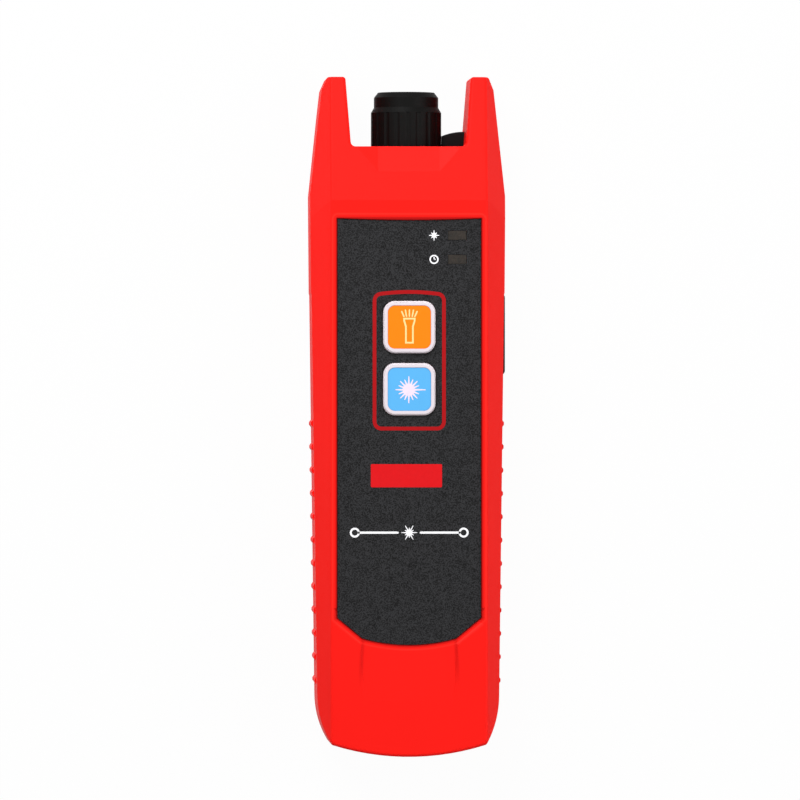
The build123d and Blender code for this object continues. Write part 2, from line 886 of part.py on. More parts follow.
def make_keycap(key_y):
    """Keycap with its flange under the panel and a post down to the switch."""
    with BuildPart() as keycap:
        with BuildSketch(Plane.XY.offset(flange_low_z)):
            with Locations((0, key_y)):
                RectangleRounded(key_size + 2 * key_flange, key_size + 2 * key_flange, key_radius)
        extrude(amount=key_flange_thickness)
        with BuildSketch(Plane.XY.offset(flange_top_z)):
            with Locations((0, key_y)):
                RectangleRounded(key_size, key_size, key_radius)
        extrude(amount=key_top_z - flange_top_z)
        chamfer(keycap.faces().sort_by(Axis.Z)[-1].edges(), key_chamfer)
        field = key_size - 2 * key_border
        with BuildSketch(Plane.XY.offset(key_top_z - key_field_depth)):
            with Locations((0, key_y)):
                RectangleRounded(field, field, key_radius - key_border)
        extrude(amount=key_field_depth, mode=Mode.SUBTRACT)
        with BuildSketch(Plane.XY.offset(plunger_top_z)):
            with Locations((0, key_y)):
                Circle(key_post_radius)
        extrude(amount=flange_low_z - plunger_top_z)
    return keycap.part


def make_plunger(key_y):
    """Plunger of a tact switch, which moves with its key."""
    with BuildPart() as plunger:
        with BuildSketch(Plane.XY.offset(switch_top_z - key_travel - 2 * mat_collar_gap)):
            with Locations((0, key_y)):
                Circle(plunger_radius)
        extrude(amount=plunger_top_z - switch_top_z + key_travel + 2 * mat_collar_gap)
    return plunger.part


def make_switch(key_y):
    """Base of a tact switch with the bore of its plunger."""
    with BuildPart() as switch:
        with BuildSketch(Plane.XY.offset(board_top_z)):
            with Locations((0, key_y)):
                Rectangle(switch_size, switch_size)
        extrude(amount=switch_height)
        with BuildSketch(Plane.XY.offset(switch_top_z - switch_bore_depth)):
            with Locations((0, key_y)):
                Circle(plunger_radius + plunger_gap)
        extrude(amount=switch_bore_depth, mode=Mode.SUBTRACT)
    return switch.part


for key_name, key_y in key_places.items():
    for piece_name, make_piece in (
        ("keycap", make_keycap),
        ("plunger", make_plunger),
        ("switch", make_switch),
    ):
        piece = make_piece(key_y)
        piece.label = f"{key_name}_{piece_name}"
        export_step(piece, f"parts/{piece.label}.step")

with BuildPart() as keypad_mat:
    with BuildSketch(Plane.XY.offset(board_top_z)):
        with Locations((0, (torch_key_y + laser_key_y) / 2)):
            Rectangle(
                mat_collar_outer + 2 * mat_margin, key_pitch + mat_collar_outer + 2 * mat_margin
            )
    extrude(amount=mat_thickness)
    with BuildSketch(Plane.XY.offset(board_top_z)):
        with Locations([(0, y) for y in key_places.values()]):
            Rectangle(mat_collar_outer, mat_collar_outer)
    extrude(amount=flange_low_z - key_travel - mat_collar_gap - board_top_z)
    with BuildSketch(Plane.XY.offset(board_top_z + mat_thickness)):
        with Locations([(0, y) for y in key_places.values()]):
            Rectangle(mat_collar_inner, mat_collar_inner)
    extrude(amount=flange_low_z - board_top_z, mode=Mode.SUBTRACT)
    with BuildSketch(Plane.XY.offset(board_top_z)):
        with Locations([(0, y) for y in key_places.values()]):
            Rectangle(switch_size + 2 * mat_switch_gap, switch_size + 2 * mat_switch_gap)
    extrude(amount=mat_thickness, mode=Mode.SUBTRACT)
keypad_mat.part.label = "keypad_mat"

with BuildPart() as light_guides:
    with BuildSketch(Plane.XY.offset(flange_top_z)):
        add(guide_slots(0.0))
    extrude(amount=overlay_top_z - flange_top_z)
    with BuildSketch(Plane.XY.offset(flange_low_z)):
        add(guide_slots(guide_flange))
    extrude(amount=key_flange_thickness)
    with BuildSketch(Plane.XY.offset(board_top_z + led_height + led_gap)):
        with Locations((guide_x, guide_upper_y), (guide_x, guide_lower_y)):
            Rectangle(guide_leg, guide_leg)
    extrude(amount=flange_low_z - board_top_z - led_height - led_gap)
light_guides.part.label = "light_guides"

with BuildPart() as status_leds:
    with BuildSketch(Plane.XY.offset(board_top_z)):
        with Locations((guide_x, guide_upper_y), (guide_x, guide_lower_y)):
            Rectangle(led_length, led_width)
    extrude(amount=led_height)
status_leds.part.label = "status_leds"

with BuildPart() as main_board:
    with BuildSketch(Plane.XY.offset(board_low_z)):
        with Locations((0, board_low_y)):
            Rectangle(board_width, board_top_y - board_low_y, align=(Align.CENTER, Align.MIN))
        with Locations((0, socket_y)):
            Rectangle(
                socket_face_x - board_tab_gap, board_tab_length, align=(Align.MIN, Align.CENTER)
            )
        with Locations(board_screw_locations()):
            add(hidden_round(board_screw_radius + case_screw_hole_gap), mode=Mode.SUBTRACT)
    extrude(amount=board_thickness)
main_board.part.label = "main_board"

with BuildPart() as board_screws:
    with BuildSketch(Plane.XY.offset(board_low_z - board_screw_head)):
        with Locations(board_screw_locations()):
            RegularPolygon(board_screw_head_radius, screw_sides)
    extrude(amount=board_screw_head)
    with BuildSketch(Plane.XY.offset(board_low_z)):
        with Locations(board_screw_locations()):
            RegularPolygon(board_screw_radius, screw_sides)
    extrude(amount=board_screw_length)
board_screws.part.label = "board_screws"

with BuildPart() as board_chips:
    for (chip_x, chip_y, chip_z), place in zip(chip_sizes, chip_places):
        with BuildSketch(Plane.XY.offset(board_top_z)):
            with Locations(place):
                Rectangle(chip_x, chip_y)
        extrude(amount=chip_z)
board_chips.part.label = "board_chips"

with BuildPart() as power_socket:
    socket_mid_z = board_low_z - socket_height / 2
    with BuildSketch(Plane.YZ.offset(socket_face_x)):
        with Locations((socket_y, socket_mid_z)):
            RectangleRounded(socket_length, socket_height, socket_height / 4)
    extrude(amount=-socket_depth)
    with BuildSketch(Plane.YZ.offset(socket_face_x)):
        with Locations((socket_y, socket_mid_z)):
            Rectangle(socket_length - 2 * socket_wall, socket_height - 2 * socket_wall)
    extrude(amount=-socket_mouth_depth, mode=Mode.SUBTRACT)
    with BuildSketch(Plane.YZ.offset(socket_face_x - tongue_setback)):
        with Locations((socket_y, socket_mid_z)):
            Rectangle(tongue_length, tongue_thickness)
    extrude(amount=-(socket_depth - tongue_setback))
power_socket.part.label = "power_socket"

with BuildPart() as port_cover:
    with BuildSketch(Plane.XY.offset(cover_low_z)):
        with Locations((cover_face_x - cover_thickness, cover_low_y)):
            Rectangle(cover_thickness, bead_y - cover_low_y, align=(Align.MIN, Align.MIN))
        with Locations((bead_x, bead_y)):
            Circle(bead_radius)
    extrude(amount=cover_width)
    fillet(
        port_cover.edges().filter_by(Axis.Z).group_by(Axis.Y)[0].sort_by(Axis.X)[-1], cover_end_radius
    )
    with BuildSketch(Plane.YZ.offset(cover_face_x - cover_thickness)):
        with Locations((socket_y, board_low_z - socket_height / 2)):
            Rectangle(plug_length, plug_height)
    extrude(amount=-(cover_face_x - cover_thickness - socket_face_x + plug_reach))
port_cover.part.label = "port_cover"

with BuildPart() as port_neck:
    with BuildSketch(port_axis):
        with BuildLine():
            Polyline(
                (0, port_flange_low_y),
                (port_flange_radius, port_flange_low_y),
                (port_flange_radius, port_flange_top_y),
                (port_radius, port_flange_top_y),
                (port_radius, deck_y + seal_thickness),
                (relief_radius, deck_y + seal_thickness),
                (relief_radius, deck_y + seal_thickness + relief_length),
                (port_radius, deck_y + seal_thickness + relief_length + port_radius - relief_radius),
                (port_radius, port_top_y - port_chamfer),
                (port_radius - port_chamfer, port_top_y),
                (0, port_top_y),
                close=True,
            )
        make_face()
        with BuildLine():
            Polyline(
                (0, port_flange_low_y),
                (laser_nose_radius + laser_fit, port_flange_low_y),
                (laser_nose_radius + laser_fit, sleeve_low_y),
                (sleeve_radius + sleeve_gap, sleeve_low_y),
                (sleeve_radius + sleeve_gap, sleeve_top_y),
                (ferrule_radius + mouth_gap, sleeve_top_y),
                (ferrule_radius + mouth_gap, port_top_y - sleeve_cover / 2),
                (ferrule_radius + mouth_flare, port_top_y),
                (0, port_top_y),
                close=True,
            )
        make_face(mode=Mode.SUBTRACT)
    revolve(axis=Axis((0, 0, split_z), (0, 1, 0)))
port_neck.part.label = "port_neck"

with BuildPart() as ferrule_sleeve:
    with BuildSketch(Plane.XZ.offset(-sleeve_low_y)):
        with Locations((0, split_z)):
            Circle(sleeve_radius)
            Circle(ferrule_radius, mode=Mode.SUBTRACT)
        with Locations((sleeve_radius, split_z)):
            Rectangle(sleeve_radius, sleeve_slit, mode=Mode.SUBTRACT)
    extrude(amount=-sleeve_length)
ferrule_sleeve.part.label = "ferrule_sleeve"

with BuildPart() as laser_module:
    with BuildSketch(port_axis):
        with BuildLine():
            Polyline(
                (laser_bore_radius, nose_top_y),
                (laser_nose_radius, nose_top_y),
                (laser_nose_radius, laser_top_y),
                (laser_radius, laser_top_y),
                (laser_radius, laser_low_y),
                (laser_can_base_radius + laser_fit, laser_low_y),
                (laser_can_base_radius + laser_fit, laser_low_y + laser_can_base),
                (laser_can_radius + laser_fit, laser_low_y + laser_can_base),
                (laser_can_radius + laser_fit, laser_top_y - lens_seat - lens_thickness),
                (lens_radius + laser_fit, laser_top_y - lens_seat - lens_thickness),
                (lens_radius + laser_fit, laser_top_y - lens_seat),
                (laser_bore_radius, laser_top_y - lens_seat),
                close=True,
            )
        make_face()
    revolve(axis=Axis((0, 0, split_z), (0, 1, 0)))
laser_module.part.label = "laser_module"

with BuildPart() as focus_lens:
    with BuildSketch(Plane.XZ.offset(-(laser_top_y - lens_seat - lens_thickness))):
        with Locations((0, split_z)):
            Circle(lens_radius)
    extrude(amount=-lens_thickness)
focus_lens.part.label = "focus_lens"

with BuildPart() as laser_diode:
    with BuildSketch(Plane.XZ.offset(-laser_low_y)):
        with Locations((0, split_z)):
            Circle(laser_can_base_radius)
    extrude(amount=-laser_can_base)
    with BuildSketch(Plane.XZ.offset(-(laser_low_y + laser_can_base))):
        with Locations((0, split_z)):
            Circle(laser_can_radius)
    extrude(amount=-laser_can_length)
laser_diode.part.label = "laser_diode"

with BuildPart() as dust_cap:
    cap_tier_y = cap_top_y - cap_chamfer_height
    cap_step_y = cap_top_y - cap_tier_height
    with BuildSketch(port_axis):
        with BuildLine():
            Polyline(
                (0, cap_top_y - cap_roof),
                (0, cap_top_y),
                (cap_flat_radius, cap_top_y),
                (cap_tier_radius, cap_tier_y),
                (cap_tier_radius, cap_step_y),
                (cap_skirt_radius, cap_step_y - cap_step_height),
                (cap_skirt_radius, collar_high_y),
                (cap_collar_radius, collar_high_y),
                (cap_collar_radius, collar_low_y),
                (cap_lip_radius, collar_low_y),
                (cap_lip_radius, cap_low_y),
                (port_radius + cap_thread_gap, cap_low_y),
                (port_radius + cap_thread_gap, cap_top_y - cap_roof),
                close=True,
            )
        make_face()
    revolve(axis=Axis((0, 0, split_z), (0, 1, 0)))
    with BuildSketch(Plane.XZ.offset(-collar_high_y)):
        with Locations((0, split_z)):
            with PolarLocations(cap_skirt_radius + flute_radius - flute_depth, flute_count):
                Circle(flute_radius)
    extrude(amount=-(cap_step_y - cap_step_height - collar_high_y), mode=Mode.SUBTRACT)
dust_cap.part.label = "dust_cap"

with BuildPart() as cap_seal:
    with BuildSketch(Plane.XZ.offset(-deck_y)):
        with Locations((0, split_z)):
            Circle(port_radius + port_gap + seal_width)
            Circle(port_radius + port_gap, mode=Mode.SUBTRACT)
    extrude(amount=-seal_thickness)
cap_seal.part.label = "cap_seal"

with BuildPart() as cap_tether:
    with BuildSketch(Plane.XZ.offset(-ring_low_y)):
        with Locations((0, split_z)):
            Circle(ring_outer_radius)
            Circle(cap_collar_radius + ring_gap, mode=Mode.SUBTRACT)
    extrude(amount=-ring_height)
    strap_inner_x = cap_skirt_radius + strap_gap
    strap_outer_x = notch_half + anchor_depth
    strap_mid_x = strap_inner_x + strap_mid_share * (notch_half - strap_inner_x)
    with BuildSketch(Plane.XY.offset(split_z - strap_thickness / 2)):
        with BuildLine():
            ThreePointArc(
                (strap_inner_x, notch_y + strap_top_inner),
                (strap_mid_x, notch_y + strap_top_mid),
                (notch_half, notch_y + strap_top_outer),
            )
            Polyline(
                (notch_half, notch_y + strap_top_outer),
                (strap_outer_x, notch_y + strap_top_outer),
                (strap_outer_x, ring_low_y),
                (strap_inner_x, ring_low_y),
                (strap_inner_x, notch_y + strap_top_inner),
            )
        make_face()
    extrude(amount=strap_thickness)
    with BuildSketch(Plane.XY.offset(split_z - anchor_head_width / 2)):
        with Locations((strap_outer_x, ring_low_y)):
            Rectangle(
                anchor_head,
                notch_y + strap_top_outer - ring_low_y,
                align=(Align.MAX, Align.MIN),
            )
    extrude(amount=anchor_head_width)
cap_tether.part.label = "cap_tether"

with BuildPart() as torch_lamp:
    lamp_seat_y = cavity_top_y - stop_gap
    lamp_top_y = lamp_seat_y + deck_thickness + lamp_dome_height
    with BuildSketch(Plane(origin=(lamp_x, 0, lamp_z))):
        with BuildLine():
            Polyline(
                (0, lamp_top_y),
                (0, lamp_seat_y - lamp_base),
                (lamp_base_radius, lamp_seat_y - lamp_base),
                (lamp_base_radius, lamp_seat_y),
                (lamp_radius, lamp_seat_y),
                (lamp_radius, lamp_top_y - lamp_radius),
                (lamp_facet_share * lamp_radius, lamp_top_y - (1 - lamp_facet_share) * lamp_radius),
                close=True,
            )
        make_face()
    revolve(axis=Axis((lamp_x, 0, lamp_z), (0, 1, 0)))
    with BuildSketch(Plane.XZ.offset(-(lamp_seat_y - lamp_base))):
        with Locations(
            (lamp_x, lamp_z - lamp_lead_pitch / 2), (lamp_x, lamp_z + lamp_lead_pitch / 2)
        ):
            Rectangle(lamp_lead, lamp_lead)
    extrude(amount=lamp_lead_length)
torch_lamp.part.label = "torch_lamp"


def make_cell(cell_x, facing):
    """A cylindrical cell lying along Y, its nub up or down."""
    base_y = cell_low_y if facing > 0 else cell_low_y + cell_length
    with BuildPart() as cell:
        with BuildSketch(Plane(origin=(cell_x, base_y, cell_z))):
            with BuildLine():
                Polyline(
                    (0, 0),
                    (cell_radius, 0),
                    (cell_radius, facing * (cell_length - cell_nub)),
                    (cell_nub_radius, facing * (cell_length - cell_nub)),
                    (cell_nub_radius, facing * cell_length),
                    (0, facing * cell_length),
                    close=True,
                )
            make_face()
        revolve(axis=Axis((cell_x, 0, cell_z), (0, 1, 0)))
    return cell.part


cell_left = make_cell(-cell_pitch, 1)
cell_left.label = "cell_left"
cell_right = make_cell(cell_pitch, -1)
cell_right.label = "cell_right"


def make_spring(cell_x, wall_y, facing):
    """A folded leaf spring on a contact plate, pressing on the flat end of a cell."""
    tip = facing * spring_rise
    side_plane = Plane(
        origin=(cell_x - spring_width / 2, wall_y, cell_z), x_dir=(0, 1, 0), z_dir=(1, 0, 0)
    )
    with BuildPart() as spring:
        with BuildSketch(side_plane):
            with BuildLine():
                Polyline(
                    (0, spring_width / 2),
                    (tip, spring_leaf / 2),
                    (tip, -spring_leaf / 2),
                    (0, spring_width / 2 - spring_leaf),
                    close=True,
                )
            make_face()
        extrude(amount=spring_width)
    return spring.part


with BuildPart() as bridge_contact:
    with BuildSketch(Plane.XZ.offset(-bay_low_y)):
        with Locations((0, cell_z)):
            Rectangle(2 * cell_pitch + contact_width, contact_height)
    extrude(amount=-contact_thickness)
    add(make_spring(-cell_pitch, bay_low_y + contact_thickness, 1))
    with BuildSketch(Plane.XZ.offset(-(bay_low_y + contact_thickness))):
        with Locations((cell_pitch, cell_z)):
            Circle(cell_nub_radius)
    extrude(amount=-spring_rise)
bridge_contact.part.label = "bridge_contact"

with BuildPart() as supply_contacts:
    with BuildSketch(Plane.XZ.offset(-bay_top_y)):
        with Locations((-cell_pitch, cell_z), (cell_pitch, cell_z)):
            Rectangle(contact_width, contact_height)
    extrude(amount=contact_thickness)
    add(make_spring(cell_pitch, bay_top_y - contact_thickness, -1))
    with BuildSketch(Plane.XZ.offset(-(bay_top_y - contact_thickness))):
        with Locations((-cell_pitch, cell_z)):
            Circle(cell_nub_radius)
    extrude(amount=bay_top_y - contact_thickness - stop_gap - cell_low_y - cell_length)
supply_contacts.part.label = "supply_contacts"

with BuildPart() as battery_door:
    door_top_z = door_recess - door_inner_gap
    with BuildSketch(Plane.XY.offset(door_setback)):
        add(door_outline(0.0))
    extrude(amount=door_top_z - door_setback)
    with BuildSketch(Plane.XY.offset(door_top_z)):
        with GridLocations(0, door_rib_share * cell_length, 1, 2):
            with Locations((0, (bay_low_y + bay_top_y) / 2)):
                Rectangle(2 * bay_half - door_ledge, door_rib_width)
    extrude(amount=door_rib)
    with BuildSketch(Plane.XY.offset(door_setback)):
        with Locations([(0, y) for y in door_screw_ys]):
            Circle(door_screw_head_radius + screw_gap)
    extrude(amount=door_screw_head, mode=Mode.SUBTRACT)
    with BuildSketch(Plane.XY.offset(door_setback)):
        with Locations([(0, y) for y in door_screw_ys]):
            add(hidden_round(door_screw_radius + screw_gap))
    extrude(amount=door_recess, mode=Mode.SUBTRACT)
battery_door.part.label = "battery_door"

with BuildPart() as door_screws:
    with BuildSketch(Plane.XY.offset(door_setback)):
        with Locations([(0, y) for y in door_screw_ys]):
            RegularPolygon(door_screw_head_radius, head_sides)
    extrude(amount=door_screw_head)
    with BuildSketch(Plane.XY.offset(door_setback)):
        with Locations([(0, y) for y in door_screw_ys]):
            RegularPolygon(door_screw_radius, screw_sides)
    extrude(amount=door_screw_length)
    with BuildSketch(Plane.XY.offset(door_setback)):
        with Locations([(0, y) for y in door_screw_ys]):
            Rectangle(2 * door_screw_head_radius, door_slot_width)
    extrude(amount=door_slot_depth, mode=Mode.SUBTRACT)
door_screws.part.label = "door_screws"

with BuildPart() as door_gasket:
    with BuildSketch(Plane.XY.offset(door_recess)):
        add(gasket_ring(0.0))
    extrude(amount=gasket_depth)
door_gasket.part.label = "door_gasket"


def make_lead(x, start_y, direction, start_z):
    """A short lead that runs along Y and turns up to the board."""
    end_y = start_y + direction * lead_reach
    with BuildPart() as lead:
        with BuildSketch(Plane(origin=(x, start_y, start_z), z_dir=(0, direction, 0))):
            RegularPolygon(lead_radius, lead_sides)
        extrude(amount=lead_reach)
        with BuildSketch(Plane.XY.offset(start_z - lead_radius)):
            with Locations((x, end_y)):
                RegularPolygon(lead_radius, lead_sides)
        extrude(amount=board_low_z - start_z + lead_radius)
    return lead.part


with BuildPart() as battery_leads:
    for side in screw_xs:
        add(make_lead(side * cell_lead_x, bay_top_y, 1, cell_z))
battery_leads.part.label = "battery_leads"

with BuildPart() as laser_leads:
    for side in screw_xs:
        add(make_lead(side * laser_lead_x, laser_low_y, -1, split_z))
laser_leads.part.label = "laser_leads"

for part in (
    front_shell.part,
    rear_shell.part,
    case_seal.part,
    case_screws.part,
    overlay.part,
    keypad_mat.part,
    light_guides.part,
    status_leds.part,
    main_board.part,
    board_screws.part,
    board_chips.part,
    power_socket.part,
    port_cover.part,
    port_neck.part,
    ferrule_sleeve.part,
    laser_module.part,
    focus_lens.part,
    laser_diode.part,
    dust_cap.part,
    cap_seal.part,
    cap_tether.part,
    torch_lamp.part,
    cell_left,
    cell_right,
    bridge_contact.part,
    supply_contacts.part,
    battery_door.part,
    door_screws.part,
    door_gasket.part,
    battery_leads.part,
    laser_leads.part,
):
    export_step(part, f"parts/{part.label}.step")
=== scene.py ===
import math

import bmesh
import bpy
from mathutils import Matrix, Vector


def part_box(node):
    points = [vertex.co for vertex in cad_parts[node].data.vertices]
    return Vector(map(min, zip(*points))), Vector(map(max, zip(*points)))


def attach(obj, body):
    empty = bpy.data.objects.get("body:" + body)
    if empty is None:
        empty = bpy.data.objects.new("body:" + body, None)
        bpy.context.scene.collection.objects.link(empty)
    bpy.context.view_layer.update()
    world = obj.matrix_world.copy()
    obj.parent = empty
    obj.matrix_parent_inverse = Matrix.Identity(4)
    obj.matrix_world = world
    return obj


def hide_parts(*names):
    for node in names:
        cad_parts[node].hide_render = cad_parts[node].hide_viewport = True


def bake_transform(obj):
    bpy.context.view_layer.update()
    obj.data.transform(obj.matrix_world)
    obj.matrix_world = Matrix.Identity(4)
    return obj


bl_info = {
    "name": "Visual fault locator",
    "version": (1, 0, 0),
    "blender": (4, 5, 0),
    "location": "View3D > Sidebar > Locator",
    "description": "Finishes, print and stage for the packed visual fault locator",
    "category": "Object",
}

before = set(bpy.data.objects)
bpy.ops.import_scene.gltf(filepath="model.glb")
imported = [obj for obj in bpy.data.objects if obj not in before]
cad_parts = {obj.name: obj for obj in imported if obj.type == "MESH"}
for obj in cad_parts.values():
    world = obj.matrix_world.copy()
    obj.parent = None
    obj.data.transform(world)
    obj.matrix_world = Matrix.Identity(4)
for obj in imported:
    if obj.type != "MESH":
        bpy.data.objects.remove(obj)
MM = 0.001
SHARP_ANGLE = math.radians(32)

# Z of the seam between the shells
SEAM_Z = 12.0

# Inset and height of the overlay's slanted lower corners, and how far its lower edge bulges
SLANT_INSET = 6.3
SLANT_HEIGHT = 5.2
BELLY = 1.6

# Half the width of a key, and the radius of its corners
KEY_HALF = 6.5
KEY_RADIUS = 2.9

# Y of the middle pair of case screws and X of the tail pair
CASE_SCREW_MIDDLE = -8.0
CASE_SCREW_TAIL = 12.5

# Node and body, radius of head and shank, height of the head, reach and half width of the drive as shares
# of the head's radius, and whether the drive is a cross
SCREWS = (
    ("case_screws", "housing", 2.4, 1.25, 1.6, 0.62, 0.17, True),
    ("board_screws", "housing", 1.7, 0.8, 1.2, 0.62, 0.17, True),
    ("door_screws", "door", 2.4, 1.25, 1.1, 0.74, 0.17, False),
)

# Radius and height of a cell's can, from its flat end to its nub
CELL_PROFILE = (
    (0.0, 0.0), (4.6, 0.0), (4.8, 0.25), (6.1, 0.25), (6.5, 0.0), (6.8, 0.1), (7.1, 0.55),
    (7.1, 48.6), (6.85, 49.05), (6.4, 49.2), (4.6, 49.2), (4.3, 49.0), (2.9, 49.0), (2.75, 49.2),
    (2.75, 50.25), (2.55, 50.5), (0.0, 50.5),
)


class PrintSettings(bpy.types.PropertyGroup):
    """Sizes of the printed marks, in millimetres."""

    ink: bpy.props.FloatProperty(name="Ink", description="Thickness of the printed ink", default=0.03)
    line: bpy.props.FloatProperty(name="Line", description="Width of the line round the keys", default=0.95)
    frame_width: bpy.props.FloatProperty(
        name="Frame width", description="Width of the line's outline", default=18.3
    )
    frame_top: bpy.props.FloatProperty(
        name="Frame top", description="Y of the outline's upper corners", default=31.1
    )
    frame_arch: bpy.props.FloatProperty(
        name="Frame arch", description="Rise of the upper line in its middle", default=0.45
    )
    frame_low: bpy.props.FloatProperty(
        name="Frame low", description="Y of the outline's lower edge", default=-3.5
    )
    frame_radius: bpy.props.FloatProperty(
        name="Frame radius", description="Radius of the outline's corners", default=2.2
    )
    stroke: bpy.props.FloatProperty(
        name="Stroke", description="Width of the strokes of the torch sign", default=0.42
    )
    border: bpy.props.FloatProperty(
        name="Border", description="Width of the pale border of a key", default=1.1
    )
    field_depth: bpy.props.FloatProperty(
        name="Field depth", description="How far a key's field lies below its border", default=0.12
    )


class FinishSettings(bpy.types.PropertyGroup):
    """Colours and grain of the finishes."""

    case_red: bpy.props.FloatVectorProperty(
        name="Case red",
        description="Colour of the moulded case",
        size=3, subtype="COLOR", default=(0.82, 0.0096, 0.0064),
    )
    label_grey: bpy.props.FloatVectorProperty(
        name="Label grey",
        description="Colour of the overlay",
        size=3, subtype="COLOR", default=(0.0126, 0.0126, 0.0135),
    )
    cap_black: bpy.props.FloatVectorProperty(
        name="Cap black",
        description="Colour of the dust cap",
        size=3, subtype="COLOR", default=(0.0032, 0.0031, 0.0029),
    )
    grain: bpy.props.FloatProperty(
        name="Grain", description="Grains of the overlay in a metre", default=3700.0
    )
    texture: bpy.props.FloatProperty(
        name="Texture", description="Spark marks of the case in a metre", default=3200.0
    )


class StageSettings(bpy.types.PropertyGroup):
    """Camera, floor and lights."""

    distance: bpy.props.FloatProperty(
        name="Distance", description="From the camera to the object", default=2.0, subtype="DISTANCE"
    )
    yaw: bpy.props.FloatProperty(
        name="Yaw", description="Degrees that the camera turns about the object's length", default=2.65
    )
    lens: bpy.props.FloatProperty(
        name="Lens", description="Focal length", default=358.1, subtype="DISTANCE_CAMERA"
    )
    aim: bpy.props.FloatVectorProperty(
        name="Aim",
        description="Middle of the picture, in millimetres",
        size=3, subtype="XYZ", default=(-1.66, 4.1, 15.0),
    )
    sky: bpy.props.FloatProperty(
        name="Sky", description="Strength of the surroundings near the floor", default=0.7
    )
    zenith: bpy.props.FloatProperty(
        name="Zenith", description="Strength of the surroundings overhead", default=0.12
    )
    key: bpy.props.FloatProperty(
        name="Key light", description="Power of the light above the port", default=5.5, subtype="POWER"
    )
    fill: bpy.props.FloatProperty(
        name="Fill light", description="Power of the light on the right", default=5.5, subtype="POWER"
    )
    lift: bpy.props.FloatProperty(
        name="Lift", description="How much paler the camera sees the floor", default=0.97, subtype="FACTOR"
    )


class Wire:
    """A value in a shader, so that its maths can be written with plain operators."""

    def __init__(self, tree, source):
        self.tree = tree
        self.source = source

    def node(self, kind, inputs, output=0, **settings):
        """A node of any kind, with its settings and inputs, as the wire of one output."""
        made = self.tree.nodes.new(kind)
        for label, value in settings.items():
            setattr(made, label, value)
        for key, value in inputs.items():
            self.feed(made.inputs[key], value)
        return Wire(self.tree, made.outputs[output])

    def feed(self, slot, value):
        """A wire is linked to the slot, and a plain value is set on it."""
        if isinstance(value, Wire):
            self.tree.links.new(value.source, slot)
        else:
            slot.default_value = value

    def maths(self, operation, *others):
        values = (self, *others)
        return self.node("ShaderNodeMath", dict(enumerate(values)), operation=operation)

    def __add__(self, other):
        return self.maths("ADD", other)

    def __sub__(self, other):
        return self.maths("SUBTRACT", other)

    def __rsub__(self, other):
        return self.node("ShaderNodeMath", {0: other, 1: self}, operation="SUBTRACT")

    def __mul__(self, other):
        return self.maths("MULTIPLY", other)

    def __truediv__(self, other):
        return self.maths("DIVIDE", other)

    def __abs__(self):
        return self.maths("ABSOLUTE")

    def low(self, other):
        return self.maths("MINIMUM", other)

    def high(self, other):
        return self.maths("MAXIMUM", other)

    def step(self, start, end, first=0.0, last=1.0):
        """The wire mapped smoothly from start..end to first..last."""
        inputs = {0: self, 1: start, 2: end, 3: first, 4: last}
        return self.node("ShaderNodeMapRange", inputs, interpolation_type="SMOOTHSTEP")


class Finish:
    """A procedural material on a principled shader, with the patterns that the finishes share."""

    def __init__(self, name, **constants):
        self.material = bpy.data.materials.new(name)
        self.material.use_nodes = True
        self.shader = self.material.node_tree.nodes["Principled BSDF"]
        self.root = Wire(self.material.node_tree, None)
        self.place = self.root.node("ShaderNodeTexCoord", {}, "Object")
        parts = [self.root.node("ShaderNodeSeparateXYZ", {0: self.place}, axis) for axis in "XYZ"]
        self.x, self.y, self.z = parts
        for label, value in constants.items():
            self.shader.inputs[label.replace("_", " ").title().replace("Ior", "IOR")].default_value = value

    def noise(self, scale, detail=2.0, place=None, roughness=0.5):
        inputs = {"Vector": place or self.place, "Scale": scale, "Detail": detail, "Roughness": roughness}
        return self.root.node("ShaderNodeTexNoise", inputs)

    def cells(self, scale, place=None):
        return self.root.node("ShaderNodeTexVoronoi", {"Vector": place or self.place, "Scale": scale})

    def stretch(self, x, y, z):
        """The place, drawn out along its axes."""
        return self.root.node("ShaderNodeVectorMath", {0: self.place, 1: (x, y, z)}, operation="MULTIPLY")

    def mix(self, factor, first, second):
        """Between two colours, each plain or a wire."""
        inputs = {0: factor}
        for index, colour in ((6, first), (7, second)):
            inputs[index] = colour if isinstance(colour, Wire) else (*colour, 1.0)
        return self.root.node("ShaderNodeMix", inputs, 2, data_type="RGBA")

    def shade(self, colour, pattern, amount):
        """The colour made darker and lighter by a pattern between 0 and 1."""
        dark = tuple(c * (1 - amount) for c in colour)
        light = tuple(min(1.0, c * (1 + amount)) for c in colour)
        return self.mix(pattern, dark, light)

    def box_distance(self, middle, half, radius):
        """Distance to the outline of a rounded rectangle seen from the front, below 0 inside it."""
        side = [
            abs(axis - centre) - (size - radius)
            for axis, centre, size in zip((self.x, self.y), middle, half)
        ]
        outside = [value.high(0.0) for value in side]
        corner = (outside[0] * outside[0] + outside[1] * outside[1]).maths("SQRT")
        return corner + side[0].high(side[1]).low(0.0) - radius

    def bump(self, height, distance, strength=1.0):
        inputs = {"Strength": strength, "Distance": distance, "Height": height}
        self.root.feed(self.shader.inputs["Normal"], self.root.node("ShaderNodeBump", inputs))

    def paint(self, colour):
        self.root.feed(self.shader.inputs["Base Color"], colour)

    def rough(self, pattern, smoothest, roughest):
        self.root.feed(self.shader.inputs["Roughness"], pattern.step(0.2, 0.8, smoothest, roughest))

    def cover(self, *nodes):
        """Puts the finish on CAD nodes."""
        for node in nodes:
            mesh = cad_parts[node].data
            mesh.materials.clear()
            mesh.materials.append(self.material)


